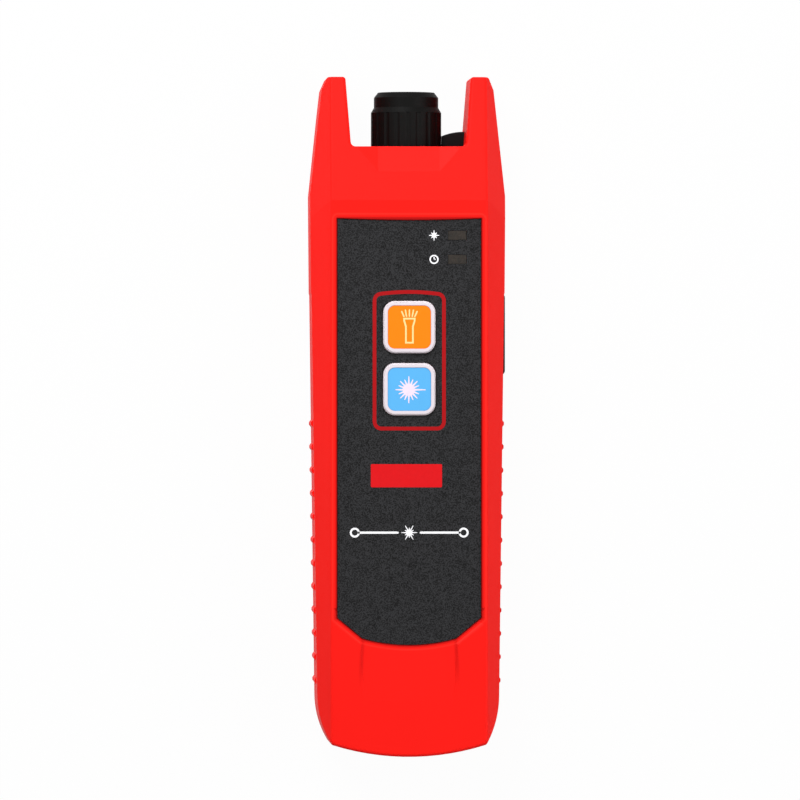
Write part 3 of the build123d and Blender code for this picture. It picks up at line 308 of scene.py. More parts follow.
class Shape:
    """Points and faces in millimetres, collected for one mesh."""

    def __init__(self):
        self.points = []
        self.faces = []

    def loop(self, points):
        start = len(self.points)
        self.points.extend(points)
        return list(range(start, len(self.points)))

    def bridge(self, first, second, closed=True):
        count = len(first)
        for i in range(count if closed else count - 1):
            j = (i + 1) % count
            self.faces.append((first[i], first[j], second[j], second[i]))

    def plate(self, outline, low, high):
        """A flat piece with an outline that runs anticlockwise."""
        bottom = self.loop([(x, y, low) for x, y in outline])
        top = self.loop([(x, y, high) for x, y in outline])
        self.bridge(bottom, top)
        self.faces.append(tuple(top))
        self.faces.append(tuple(reversed(bottom)))

    def band(self, outer, inner, low, high):
        """A flat ring between two outlines with the same number of points."""
        loops = [
            self.loop([(x, y, z) for x, y in outline])
            for outline, z in ((outer, low), (outer, high), (inner, high), (inner, low))
        ]
        for index, first in enumerate(loops):
            self.bridge(first, loops[(index + 1) % len(loops)])

    def loft(self, sections):
        """A closed body through a row of sections with the same number of points."""
        loops = [self.loop(section) for section in sections]
        for first, second in zip(loops, loops[1:]):
            self.bridge(first, second)
        self.faces.append(tuple(reversed(loops[0])))
        self.faces.append(tuple(loops[-1]))

    def hoop(self, middle, outer, inner, low, high):
        """A flat round ring."""
        self.band(arc(middle, outer, 0, 345, 23), arc(middle, inner, 0, 345, 23), low, high)

    def wheel(self, sections, closed=True):
        """A ring through sections that go all the way round, or a body whose sections end on its axis."""
        loops = [self.loop(section) for section in sections]
        for index, first in enumerate(loops):
            self.bridge(first, loops[(index + 1) % len(loops)], closed)

    def turned(self, profile, place, steps=48, relief=None):
        """A body turned from a profile of radius and height, about an axis along Y."""
        x, z = place
        sections = []
        for index in range(steps):
            turn = 2 * math.pi * index / steps
            section = []
            for radius, height in profile:
                reach = radius + (relief(radius, height, turn) if relief else 0.0)
                section.append((x + reach * math.cos(turn), height, z + reach * math.sin(turn)))
            sections.append(section)
        self.wheel(sections, closed=profile[0][0] > 0)

    def build(self, name, finish):
        """The mesh object, joined, facing outwards and smooth, with its finish."""
        mesh = bpy.data.meshes.new(name)
        mesh.from_pydata([Vector(p) * MM for p in self.points], [], self.faces)
        work = bmesh.new()
        work.from_mesh(mesh)
        bmesh.ops.remove_doubles(work, verts=work.verts, dist=0.0005 * MM)
        bmesh.ops.recalc_face_normals(work, faces=work.faces)
        work.to_mesh(mesh)
        work.free()
        mesh.shade_smooth()
        mesh.set_sharp_from_angle(angle=SHARP_ANGLE)
        mesh.materials.append(finish.material)
        piece = bpy.data.objects.new(name, mesh)
        bpy.context.scene.collection.objects.link(piece)
        return piece


def arc(middle, radius, start, end, steps):
    """Points on an arc, with its angles in degrees."""
    turns = [math.radians(start + (end - start) * i / steps) for i in range(steps + 1)]
    return [(middle[0] + radius * math.cos(t), middle[1] + radius * math.sin(t)) for t in turns]


def stroke(points, width):
    """The outline of a straight stroke through two points, with round ends."""
    start, end = Vector(points[0]), Vector(points[1])
    turn = math.degrees(math.atan2(end.y - start.y, end.x - start.x))
    return arc(end, width / 2, turn - 90, turn + 90, 6) + arc(start, width / 2, turn + 90, turn + 270, 6)


def offset_outline(points, distance):
    """A closed outline moved in by a distance, corner by corner."""
    moved = []
    for index, point in enumerate(points):
        before = Vector(point) - Vector(points[index - 1])
        after = Vector(points[(index + 1) % len(points)]) - Vector(point)
        first = Vector((-before.y, before.x)).normalized()
        second = Vector((-after.y, after.x)).normalized()
        mitre = first + second
        moved.append(Vector(point) + mitre * (distance / max(0.2, mitre.dot(first))))
    return [(p.x, p.y) for p in moved]


def rounded_rectangle(left, right, low, high, radius, steps=4):
    """A rectangle with round corners, anticlockwise."""
    outline = []
    for x, y, start in (
        (right - radius, low + radius, -90),
        (right - radius, high - radius, 0),
        (left + radius, high - radius, 90),
        (left + radius, low + radius, 180),
    ):
        outline += arc((x, y), radius, start, start + 90, steps)
    return outline


def round_the(corners):
    """Points of an outline about the origin, with more of them where it turns far."""
    rim = []
    for index, corner in enumerate(corners):
        first = Vector(corner)
        second = Vector(corners[(index + 1) % len(corners)])
        edge = second - first
        span = math.atan2(first.cross(second), first.dot(second))
        steps = max(1, round(span / math.radians(9)))
        for step in range(steps):
            turn = math.atan2(first.y, first.x) + span * step / steps
            ray = Vector((math.cos(turn), math.sin(turn)))
            rim.append(first - edge * (first.cross(ray) / edge.cross(ray)))
    return rim


def star(middle, core, reaches, base, tip):
    """The outline of a disc with tapering rays, each as far from the middle as its reach."""
    outline = []
    for index, reach in enumerate(reaches):
        turn = 2 * math.pi * index / len(reaches)
        along = Vector((math.cos(turn), math.sin(turn)))
        across = Vector((-math.sin(turn), math.cos(turn)))
        for distance, side in ((core, -base / 2), (reach, -tip / 2), (reach, tip / 2), (core, base / 2)):
            point = Vector(middle) + along * distance + across * side
            outline.append((point.x, point.y))
    return outline


def box_of(node):
    """Lowest and highest corner of a CAD node, in millimetres."""
    return [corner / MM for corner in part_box(node)]


def top_of(node):
    """Height of a CAD node's highest point, in millimetres."""
    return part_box(node)[1].z / MM


def middle_of(node):
    """Middle of a CAD node's box, in millimetres."""
    low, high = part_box(node)
    return (low + high) / 2 / MM


def ink_finish(name, colour):
    """Screen-printed ink: slightly uneven in tone and in how it covers."""
    finish = Finish(name, specular_ior_level=0.1)
    finish.paint(finish.shade(colour, finish.noise(900, 3), 0.07))
    finish.rough(finish.noise(500, 2), 0.44, 0.58)
    finish.bump(finish.noise(6000, 2), 0.000015, 0.4)
    return finish


def rubber_finish(name, colour, roughness):
    """Moulded rubber with a fine matt grain."""
    finish = Finish(name, specular_ior_level=0.07)
    fine = finish.noise(2400, 4, roughness=0.62)
    finish.paint(finish.shade(colour, fine, 0.25))
    finish.rough(fine, roughness, roughness + 0.2)
    finish.bump(fine, 0.00003, 0.6)
    return finish


def plain_finish(name, colour, roughness, height=0.00002, amount=0.06, **constants):
    """A moulded or machined finish: slight changes of tone, and a fine grain in its gloss and relief."""
    finish = Finish(name, **constants)
    fine = finish.noise(2500, 3)
    finish.paint(finish.shade(colour, finish.noise(120, 3), amount))
    finish.rough(fine, roughness - 0.05, roughness + 0.07)
    finish.bump(fine, height, 0.5)
    return finish


def red_plastic(name, settings):
    """Moulded red plastic, with its spark marks and its tone for the caller to use in paint and relief."""
    finish = Finish(name, specular_ior_level=0.06)
    sparks = finish.noise(settings.texture, 3, roughness=0.62)
    tone = finish.shade(tuple(settings.case_red), finish.noise(45, 3), 0.035)
    finish.rough(sparks, 0.44, 0.6)
    return finish, sparks, tone


class LOCATOR_OT_case(bpy.types.Operator):
    """Red moulded shells, the overlay, the windows and the rubber of the case."""

    bl_idname = "locator.case"
    bl_label = "Finish the case"

    def execute(self, context):
        settings = context.scene.locator_finish
        self.shells(settings)
        self.label(settings)
        self.windows()
        self.side_cover()
        return {"FINISHED"}

    def shells(self, settings):
        """Both shells, with painted shade in the seam between them and in the recess round the overlay, a
        painted highlight just outside the recess, and painted shade along the scoop below the overlay.
        """
        red, sparks, tone = red_plastic("case_red", settings)
        # Mask that is 0 on the seam: its relief is the groove, and in the colour it gives painted shade in
        # the parting line
        seam = abs(red.z - SEAM_Z * MM).step(0.03 * MM, 0.1 * MM)
        edge = self.overlay_edge(red)
        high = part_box("overlay")[1]
        front = red.z.step(high.z - 1.0 * MM, high.z - 0.8 * MM)
        # Painted shade in the recess round the overlay and on a narrow band outside it, darkest at the
        # overlay's edge
        painted_recess_shade = edge.step(0.1 * MM, 0.95 * MM, 0.75, 0.0) * front
        # Painted highlight: a lighter red band along the outer edge of the recess
        painted_edge_highlight = edge.step(0.95 * MM, 1.15 * MM) * edge.step(1.3 * MM, 1.6 * MM, 1.0, 0.0) * front
        tone = red.mix(painted_recess_shade, tone, (0.2, 0.0015, 0.0018))
        tone = red.mix(painted_edge_highlight * 0.5, tone, (0.95, 0.028, 0.02))
        # Painted shade along the two edges of the scoop below the overlay
        tone = red.mix(self.painted_scoop_shade(red) * front, tone, (0.42, 0.003, 0.003))
        # Painted shade in the seam: the tone turns dark red along the parting line
        red.paint(red.mix(seam, (0.22, 0.001, 0.001), tone))
        red.bump(sparks * 0.16 + seam, 0.00012, 0.5)
        red.cover("front_shell", "rear_shell")

    def label(self, settings):
        """Grained film of the overlay."""
        label = Finish("overlay_film", specular_ior_level=0.115)
        grain = label.noise(settings.grain, 1, roughness=0.6)
        mottle = label.noise(settings.grain / 9, 2)
        fleck = (grain * 0.85 + mottle * 0.15).step(0.4, 0.58)
        label.paint(label.shade(tuple(settings.label_grey), fleck, 0.95))
        label.rough(grain, 0.5, 0.72)
        label.bump(grain, 0.00005, 0.6)
        label.cover("overlay")

    def windows(self):
        """Smoked ends of the light guides."""
        window = Finish("smoked_window", specular_ior_level=0.2)
        mottle = window.noise(700, 3, roughness=0.7).step(0.3, 0.7)
        window.paint(window.mix(mottle, (0.016, 0.014, 0.012), (0.032, 0.025, 0.02)))
        window.rough(window.noise(1800, 2), 0.2, 0.34)
        window.cover("light_guides")

    def overlay_edge(self, finish):
        """Distance to the overlay's outline, with its slanted lower corners and its round lower edge."""
        low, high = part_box("overlay")
        half = ((high.x - low.x) / 2, (high.y - low.y) / 2)
        frame_edge = finish.box_distance(((low.x + high.x) / 2, (low.y + high.y) / 2), half, 0.1 * MM)
        inset, rise, belly = SLANT_INSET * MM, SLANT_HEIGHT * MM, BELLY * MM
        length = math.hypot(inset, rise)
        beside = (abs(finish.x) - half[0]) * (rise / length)
        above = (finish.y - low.y - belly - rise) * (inset / length)
        slant = beside - above
        chord = half[0] - inset
        radius = (chord**2 + belly**2) / (2 * belly)
        down = (finish.y - low.y - radius).low(0.0)
        bow = (finish.x * finish.x + down * down).maths("SQRT") - radius
        return frame_edge.high(slant).high(bow)

    def painted_scoop_shade(self, finish):
        """The two soft lines of painted shade that run down from the overlay's lower corners, along the
        edges of the scoop.
        """
        low, high = box_of("overlay")
        reach, fade, spread, depth = 11.0, 7.0, 0.05, 0.42
        line_x = high.x - SLANT_INSET
        top_y = low.y + BELLY
        end_y = low.y - reach
        lean = abs(finish.x) - line_x * MM - (top_y * MM - finish.y) * spread
        tail = finish.y.step(end_y * MM, (end_y + fade) * MM)
        head = finish.y.step(top_y * MM, (top_y - 1.0) * MM)
        return abs(lean).step(0.05 * MM, 0.9 * MM, depth, 0.0) * (tail * head)

    def side_cover(self):
        """Rubber cover of the socket, with its hinge bead, its grip grooves and its plug."""
        low, high = box_of("port_cover")
        thickness, corner, bead = 1.5, 1.2, 0.9
        grooves, groove_start, groove_pitch, groove_depth = 5, 2.4, 1.15, 0.3
        groove_shape = ((0.0, 0.0), (0.73, 0.09), (1.0, 0.25), (0.73, 0.41), (0.0, 0.5))
        edge, margin = 0.1, 1.2
        face, back = high.x, high.x - thickness
        lip = math.degrees(math.acos((back - face + bead) / bead))
        outlines = []
        for depth in (0.0, groove_depth):
            outline = arc((face - corner, low.y + corner), corner, -90, 0, 8)
            for index in range(grooves):
                groove = low.y + groove_start + groove_pitch * index
                outline += [(face - depth * share, groove + along) for share, along in groove_shape]
            outline += arc((face - bead, high.y - bead), bead, 0, 360 - lip, 18)
            outlines.append(outline + [(back, low.y)])
        smooth, grooved = outlines
        inner = offset_outline(smooth, edge)
        rows = [(inner, 0.0), (smooth, edge), (smooth, margin), (grooved, margin + groove_depth)]
        shape = Shape()
        shape.loft(
            [[(x, y, low.z + z) for x, y in points] for points, z in rows]
            + [[(x, y, high.z - z) for x, y in points] for points, z in reversed(rows)]
        )
        middle = middle_of("port_cover")
        plug_y, plug_z = 2.9, 0.65
        plug = [[max(-1, min(1, 1.4 * side)) for side in point] for point in arc((0, 0), 1.0, 0, 315, 7)]
        shape.loft(
            [
                [(x, middle.y + plug_y * share * y, middle.z + plug_z * share * z) for y, z in plug]
                for x, share in ((low.x, 0.82), (low.x + 0.3, 1.0), (back + 0.05, 1.0))
            ]
        )
        rubber = rubber_finish("cover_rubber", (0.006, 0.006, 0.0062), 0.52)
        piece = shape.build("side_cover_moulding", rubber)
        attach(piece, "side_cover")
        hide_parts("port_cover")
        rubber.cover("port_cover")


class LOCATOR_OT_keys(bpy.types.Operator):
    """Keycaps with pale borders and printed fields."""

    bl_idname = "locator.keys"
    bl_label = "Finish the keys"

    def execute(self, context):
        border = context.scene.locator_print.border
        for node, colour in (
            ("torch_keycap", (0.9, 0.195, 0.001)),
            ("laser_keycap", (0.09, 0.38, 0.72)),
        ):
            key = Finish(node + "_print", specular_ior_level=0.2, coat_weight=0.05, coat_roughness=0.2)
            middle = middle_of(node) * MM
            half = (KEY_HALF - border) * MM
            edge = key.box_distance((middle.x, middle.y), (half, half), (KEY_RADIUS - border) * MM)
            raised = key.z.step((top_of(node) - 0.6) * MM, (top_of(node) - 0.5) * MM)
            field = edge.step(-0.02 * MM, 0.02 * MM, 1.0, 0.0) * raised
            line = abs(edge).step(0.04 * MM, 0.14 * MM, 1.0, 0.0) * raised
            fine = key.noise(2200, 3)
            pale = key.shade((0.64, 0.58, 0.62), key.noise(160, 2), 0.04)
            ink = key.shade(colour, key.noise(220, 3), 0.03)
            shadow = key.mix(field, (0.45, 0.42, 0.52), tuple(c * 0.72 for c in colour))
            key.paint(key.mix(line * 0.7, key.mix(field, pale, ink), shadow))
            key.rough(fine, 0.3, 0.42)
            key.bump(fine * 0.2 - line, 0.00005, 0.5)
            key.cover(node)
        return {"FINISHED"}


class LOCATOR_OT_print(bpy.types.Operator):
    """Printed line round the keys, the signs on the keys and the marks of the overlay."""

    bl_idname = "locator.print"
    bl_label = "Print the marks"

    def execute(self, context):
        settings = context.scene.locator_print
        self.frame_line(settings)
        self.torch_sign(settings)
        self.laser_sign(settings)
        self.overlay_bar(settings)
        self.overlay_marks(settings)
        return {"FINISHED"}

    def frame_line(self, settings):
        """Line round both keys, with an arched upper side."""
        radius = settings.frame_radius
        side = settings.frame_width / 2 - radius
        top, low = settings.frame_top, settings.frame_low
        outer = arc((side, low + radius), radius, -90, 0, 8)
        outer += arc((side, top - radius), radius, 0, 84, 8)
        for i in range(1, 16):
            share = 1 - i / 8
            outer.append((side * share, top + settings.frame_arch * (1 - share**2)))
        outer += arc((-side, top - radius), radius, 96, 180, 8)
        outer += arc((-side, low + radius), radius, 180, 270, 8)
        low_z = top_of("overlay")
        shape = Shape()
        shape.band(outer, offset_outline(outer, settings.line), low_z, low_z + settings.ink)
        piece = shape.build("key_frame_line", ink_finish("ink_red", (0.34, 0.004, 0.006)))
        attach(piece, "housing")

    def torch_sign(self, settings):
        """Outline of a torch, with five rays."""
        middle = middle_of("torch_keycap")
        low_z = top_of("torch_keycap") - settings.field_depth - settings.ink
        high_z = low_z + settings.ink * 2
        right = [(1.08, -4.12), (1.08, 0.1), (1.5, 1.5), (1.55, 2.3)]
        outer = right + [(-x, y) for x, y in reversed(right)]
        rays = [((0.0, 2.68), (0.0, 4.25))]
        for side in (-1, 1):
            rays.append(((0.72 * side, 2.66), (1.0 * side, 4.2)))
            rays.append(((1.36 * side, 2.62), (1.92 * side, 3.86)))
        shape = Shape()
        placed = [(middle.x + x, middle.y + y) for x, y in outer]
        shape.band(placed, offset_outline(placed, settings.stroke), low_z, high_z)
        for start, end in rays:
            points = [(middle.x + x, middle.y + y) for x, y in (start, end)]
            shape.plate(stroke(points, settings.stroke * 0.85), low_z, high_z)
        piece = shape.build("torch_sign", ink_finish("ink_cream", (0.84, 0.62, 0.26)))
        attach(piece, "torch_key")

    def laser_sign(self, settings):
        """A glowing spot with short rays and one long beam."""
        middle = middle_of("laser_keycap")
        low_z = top_of("laser_keycap") - settings.field_depth - settings.ink
        reaches = [3.35, 2.75, 3.05, 2.75] * 4
        reaches[0] = 4.2
        spot = star((middle.x - 0.15, middle.y - 0.15), 1.5, reaches, 0.48, 0.22)
        shape = Shape()
        shape.plate(spot, low_z, low_z + settings.ink * 2)
        piece = shape.build("laser_sign", ink_finish("ink_blush", (0.72, 0.62, 0.74)))
        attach(piece, "laser_key")

    def overlay_bar(self, settings):
        """A plain bar below the keys."""
        left, right, low, high, radius = -9.6, 8.2, -17.7, -11.9, 0.3
        low_z = top_of("overlay")
        shape = Shape()
        shape.plate(rounded_rectangle(left, right, low, high, radius, 6), low_z, low_z + settings.ink)
        piece = shape.build("overlay_bar", ink_finish("ink_bar", (0.6, 0.006, 0.009)))
        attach(piece, "housing")

    def overlay_marks(self, settings):
        """A fibre that glows at a break between its two ends, and a sign beside each window."""
        fibre_y, fibre_width, gap, fibre_end, eye = -29.0, 0.55, 2.9, 12.6, 13.6
        sign_x, half_pitch, hand_width = 6.2, 3.0, 0.28
        low_z = top_of("overlay")
        high_z = low_z + settings.ink
        shape = Shape()
        for start, end in ((-fibre_end, -gap), (gap, fibre_end)):
            shape.plate(stroke(((start, fibre_y), (end, fibre_y)), fibre_width), low_z, high_z)
        for x in (-eye, eye):
            shape.hoop((x, fibre_y), 1.25, 0.75, low_z, high_z)
        shape.plate(star((0, fibre_y), 0.7, [2.0, 1.25] * 6, 0.34, 0.14), low_z, high_z)

        beam_y, clock_y = (middle_of("light_guides").y + side * half_pitch for side in (1, -1))
        shape.plate(star((sign_x, beam_y), 0.55, [1.3, 0.95] * 4, 0.3, 0.14), low_z, high_z)
        shape.hoop((sign_x, clock_y), 1.15, 0.8, low_z, high_z)
        for start, end in (((0.0, -0.02), (0.0, 0.5)), ((0.0, 0.0), (0.3, 0.0))):
            hand = [(sign_x + x, clock_y + y) for x, y in (start, end)]
            shape.plate(stroke(hand, hand_width), low_z, high_z)
        piece = shape.build("overlay_marks", ink_finish("ink_white", (0.82, 0.82, 0.84)))
        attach(piece, "housing")


class LOCATOR_OT_port(bpy.types.Operator):
    """Dust cap, port neck, sleeve, torch lamp and laser."""

    bl_idname = "locator.port"
    bl_label = "Finish the port"

    def execute(self, context):
        self.cap(context.scene.locator_finish)
        self.neck()
        self.laser()
        self.lamp()
        return {"FINISHED"}

    def cap(self, settings):
        """Turned look of the dust cap."""
        cap = Finish("cap_plastic", specular_ior_level=0.06)
        turned = cap.noise(1.0, 3, cap.stretch(180, 5200, 180))
        fine = cap.noise(2600, 3)
        cap.paint(cap.shade(tuple(settings.cap_black), fine, 0.2))
        cap.rough(turned, 0.4, 0.56)
        cap.bump(fine * 0.6 + turned * 0.4, 0.00003, 0.6)
        cap.cover("dust_cap")

    def neck(self):
        """Threaded neck of the port, turned with its flange, its relief groove and its bore."""
        low, high = box_of("port_neck")
        axis_z = (low.z + high.z) / 2
        flange, body, relief, bore, sleeve, mouth = high.x, 6.1, 5.6, 3.15, 1.83, 1.4
        flange_top = low.y + 1.9
        bevel, crown, mouth_depth, bore_depth = 0.2, 0.6, 0.8, 12.2
        thread_low, thread_high = high.y - 8.2, high.y - 0.85
        pitch, depth, fade_length, rows = 0.75, 0.3, 0.5, 59

        def cut(radius, height, turn):
            if radius != body or not thread_low <= height <= thread_high:
                return 0.0
            fade = min(1.0, (height - thread_low) / fade_length, (thread_high - height) / fade_length)
            return -depth * fade * abs(2 * ((height / pitch - turn / (2 * math.pi)) % 1.0) - 1)

        profile = [(bore, low.y), (flange - bevel, low.y), (flange, low.y + bevel)]
        profile += [(flange, flange_top - bevel), (flange - bevel, flange_top), (body, flange_top)]
        profile += [(body, high.y - 10.2), (relief, high.y - 10.0)]
        profile += [(relief, high.y - 9.0), (body, high.y - 8.5)]
        profile += [(body, thread_low + (thread_high - thread_low) * i / rows) for i in range(rows + 1)]
        profile += [(body, high.y - crown), (body - crown, high.y), (2.25, high.y), (mouth, high.y - 0.4)]
        profile += [(mouth, high.y - mouth_depth), (sleeve, high.y - mouth_depth)]
        profile += [(sleeve, high.y - bore_depth), (bore, high.y - bore_depth)]
        shape = Shape()
        shape.turned(profile, (0.0, axis_z), 96, cut)
        nickel = Finish("neck_nickel", metallic=1.0)
        lines = nickel.noise(1.0, 2, nickel.stretch(220, 7000, 220))
        nickel.paint(nickel.shade((0.56, 0.57, 0.58), lines, 0.08))
        nickel.rough(lines, 0.22, 0.36)
        nickel.bump(lines, 0.00001, 0.6)
        piece = shape.build("port_neck_turned", nickel)
        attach(piece, "housing")
        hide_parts("port_neck")
        nickel.cover("port_neck")

    def laser(self):
        """Ceramic sleeve, brass barrel, focusing lens and the laser diode's can."""
        plain_finish("zirconia_white", (0.86, 0.86, 0.83), 0.16, amount=0.03).cover("ferrule_sleeve")
        plain_finish("barrel_brass", (0.62, 0.42, 0.16), 0.28, metallic=1.0).cover("laser_module")
        lens = plain_finish(
            "clear_lens",
            (0.95, 0.97, 1.0),
            0.06,
            height=0.000002,
            amount=0.01,
            transmission_weight=1.0,
            ior=1.52,
        )
        lens.cover("focus_lens")
        plain_finish("diode_can", (0.6, 0.55, 0.42), 0.25, metallic=1.0).cover("laser_diode")

    def lamp(self):
        """Torch lamp: a clear dome on its collar, with a reflector cup, its die and two legs."""
        low, high = box_of("torch_lamp")
        place = ((low.x + high.x) / 2, (low.z + high.z) / 2)
        dome, collar, leg_offset, leg = 2.5, 2.9, 1.27, 0.25
        seat = high.y - 5.7
        foot = seat - 1.0

        profile = [(0.0, foot), (collar - 0.15, foot), (collar, foot + 0.15), (collar, seat), (dome, seat)]
        for turn in [math.radians(9 * i) for i in range(11)]:
            profile.append((dome * math.cos(turn), high.y - dome + dome * math.sin(turn)))
        shape = Shape()
        shape.turned(profile, place)
        clear = Finish("lamp_epoxy", ior=1.5, transmission_weight=0.75)
        clear.paint(clear.shade((0.86, 0.88, 0.9), clear.noise(300, 2), 0.02))
        clear.rough(clear.noise(1500, 2), 0.05, 0.12)
        lens = shape.build("torch_lens", clear)
        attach(lens, "housing")
        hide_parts("torch_lamp")
        clear.cover("torch_lamp")

        under, rim, cup_floor = seat - 0.6, seat + 0.9, seat + 0.1
        cup_profile = [(0.0, under), (1.3, under), (1.6, rim), (1.4, rim)]
        cup_profile += [(0.8, cup_floor), (0.0, cup_floor)]
        cup = Shape()
        cup.turned(cup_profile, place, 32)
        square = ((-leg, -leg), (leg, -leg), (leg, leg), (-leg, leg))
        for side in (-1, 1):
            leg_z = place[1] + side * leg_offset
            cup.loft([[(place[0] + x, y, leg_z + z) for x, z in square] for y in (low.y, foot)])
        silver = plain_finish("lamp_silver", (0.75, 0.74, 0.7), 0.25, metallic=1.0)
        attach(cup.build("torch_cup", silver), "housing")

        die_profile = [(0.0, seat + 0.12), (0.62, seat + 0.12), (0.62, seat + 0.3)]
        die_profile += [(0.4, seat + 0.42), (0.0, seat + 0.45)]
        die = Shape()
        die.turned(die_profile, place, 24)
        phosphor = plain_finish("lamp_phosphor", (0.85, 0.62, 0.05), 0.5)
        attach(die.build("torch_die", phosphor), "housing")


class LOCATOR_OT_tether(bpy.types.Operator):
    """Rubber tether of the dust cap, rounded as a moulding is."""

    bl_idname = "locator.tether"
    bl_label = "Mould the tether"

    def execute(self, context):
        low, high = box_of("cap_tether")
        axis_z = (low.z + high.z) / 2
        ring_height, ring_width, arm_half, plug_half, plug_length = 1.3, 1.55, 0.9, 2.1, 1.0
        ring = rounded_rectangle(-low.x - ring_width, -low.x, low.y, low.y + ring_height, 0.35)
        shape = Shape()
        shape.wheel(
            [
                [(r * math.cos(t), y, axis_z + r * math.sin(t)) for r, y in ring]
                for t in [2 * math.pi * i / 72 for i in range(72)]
            ]
        )
        start_x = box_of("dust_cap")[1].x + 0.06
        plug_x = high.x - plug_length
        crest_x, crest_fall = 14.4, 1.1
        sections = []
        for i in range(33):
            x = start_x + (plug_x - start_x) * i / 32
            crown = high.y - crest_fall * max(0.0, (crest_x - x) / (crest_x - start_x)) ** 2
            arm = rounded_rectangle(-arm_half, arm_half, low.y, crown, 0.45)
            sections.append([(x, y, axis_z + z) for z, y in arm])
        shape.loft(sections)
        plug = rounded_rectangle(-plug_half, plug_half, low.y, high.y, 0.4)
        shape.loft(
            [
                [(x, y, axis_z + z) for z, y in plug]
                for x in (plug_x, high.x - 0.6, high.x - 0.2, high.x)
            ]
        )
        finish = rubber_finish("tether_rubber", (0.0035, 0.003, 0.003), 0.48)
        piece = shape.build("tether_moulding", finish)
        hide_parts("cap_tether")
        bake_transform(piece)
        finish.cover("cap_tether")
        return {"FINISHED"}


class LOCATOR_OT_power(bpy.types.Operator):
    """Cells, contacts, door, screws, leads and the supply socket."""

    bl_idname = "locator.power"
    bl_label = "Finish the power parts"

    def execute(self, context):
        self.screws()
        self.cell("cell_left", 1)
        self.cell("cell_right", -1)

        nickel = Finish("nickel_strip", metallic=1.0)
        brushed = nickel.noise(1.0, 3, nickel.stretch(900, 900, 6000))
        nickel.paint(nickel.shade((0.62, 0.6, 0.55), brushed, 0.08))
        nickel.rough(brushed, 0.22, 0.38)
        nickel.bump(brushed, 0.00001, 0.5)
        nickel.cover("bridge_contact", "supply_contacts", "power_socket")

        door, sparks, tone = red_plastic("door_red", context.scene.locator_finish)
        door.paint(tone)
        door.bump(sparks, 0.00002, 0.6)
        door.cover("battery_door")

        lead = Finish("lead_sleeve", roughness=0.45)
        lead.paint(lead.mix(lead.x.step(-0.0001, 0.0001), (0.012, 0.012, 0.013), (0.62, 0.012, 0.01)))
        lead.bump(lead.noise(3000, 2), 0.00001, 0.4)
        lead.cover("battery_leads", "laser_leads")
        return {"FINISHED"}

    def cell(self, node, facing):
        """A cell with its can, its two-tone sleeve and its bare ends, whose nub faces up or down."""
        low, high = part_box(node)
        start, end = (low.y, high.y) if facing > 0 else (high.y, low.y)
        shape = Shape()
        shape.turned(
            [(radius, start / MM + facing * height) for radius, height in CELL_PROFILE],
            ((low.x + high.x) / 2 / MM, (low.z + high.z) / 2 / MM),
        )
        sleeve = Finish(node + "_sleeve", specular_ior_level=0.5, coat_weight=0.3, coat_roughness=0.12)
        along = (sleeve.y - start) / (end - start)
        nub = along.step(0.955, 0.958)
        base = along.step(0.014, 0.011)
        collar = along.step(0.7, 0.702) * along.step(0.935, 0.932)
        metal = nub.high(base)
        fine = sleeve.noise(1800, 3)
        colour = sleeve.mix(
            collar,
            sleeve.shade((0.03, 0.034, 0.045), sleeve.noise(90, 2), 0.06),
            sleeve.shade((0.72, 0.42, 0.09), sleeve.noise(90, 2), 0.05),
        )
        sleeve.paint(sleeve.mix(metal, colour, (0.6, 0.6, 0.58)))
        sleeve.root.feed(sleeve.shader.inputs["Metallic"], metal)
        sleeve.rough(fine, 0.24, 0.34)
        sleeve.bump(fine * 0.3 + metal * 0.4, 0.00004, 0.5)
        piece = shape.build(node + "_can", sleeve)
        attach(piece, "housing")
        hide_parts(node)
        sleeve.cover(node)

    def screws(self):
        """Every screw, with its drive and its point, in the place of its plain solid."""
        steel = Finish("screw_steel", metallic=1.0)
        worn = steel.noise(2200, 3)
        steel.paint(steel.shade((0.42, 0.42, 0.43), worn, 0.12))
        steel.rough(worn, 0.26, 0.42)
        steel.bump(worn, 0.00001, 0.5)
        for node, body, head, shank, height, reach, width, cross in SCREWS:
            low, high = box_of(node)
            edge_x, low_y, high_y = high.x - head, low.y + head, high.y - head
            rim = round_the(self.drive(reach * head, width * head, cross))
            places = {
                "case_screws": [(edge_x, high_y), (edge_x, CASE_SCREW_MIDDLE), (CASE_SCREW_TAIL, low_y)],
                "board_screws": [(edge_x, low_y), (edge_x, high_y)],
                "door_screws": [(0.0, low_y), (0.0, high_y)],
            }[node]
            shape = Shape()
            for x, y in places:
                for side in (1, -1) if x else (1,):
                    self.screw(shape, (side * x, y), (low.z, high.z), (head, shank, height), rim)
            piece = shape.build(node + "_turned", steel)
            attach(piece, body)
            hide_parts(node)
            steel.cover(node)

    def drive(self, long, wide, cross):
        """Corners of a cross, or of a slot, anticlockwise."""
        corners = [(long, -wide), (long, wide)]
        if cross:
            corners += [(wide, wide), (wide, long), (-wide, long), (-wide, wide)]
        corners += [(-long, wide), (-long, -wide)]
        if cross:
            corners += [(-wide, -wide), (-wide, -long), (wide, -long), (wide, -wide)]
        return corners

    def screw(self, shape, place, levels, sizes, rim):
        """A screw whose head faces back, with the drive's rim sunk in it."""
        x, y = place
        low, high = levels
        head, shank, height = sizes

        def ring(radius, z):
            return [(x + p.x * radius / p.length, y + p.y * radius / p.length, z) for p in rim]

        def sunk(share, z):
            return [(x + p.x * share, y + p.y * share, z) for p in rim]

        seat = low + height
        face = low + 0.02
        shape.loft(
            [
                sunk(0.8, low + 0.55 * height),
                sunk(1.0, face),
                ring(0.8 * head, face),
                ring(0.93 * head, low + 0.1 * height),
                ring(head, low + 0.3 * height),
                ring(head, seat),
                ring(shank, seat),
                ring(shank, high - shank),
                ring(0.35 * shank, high),
            ]
        )


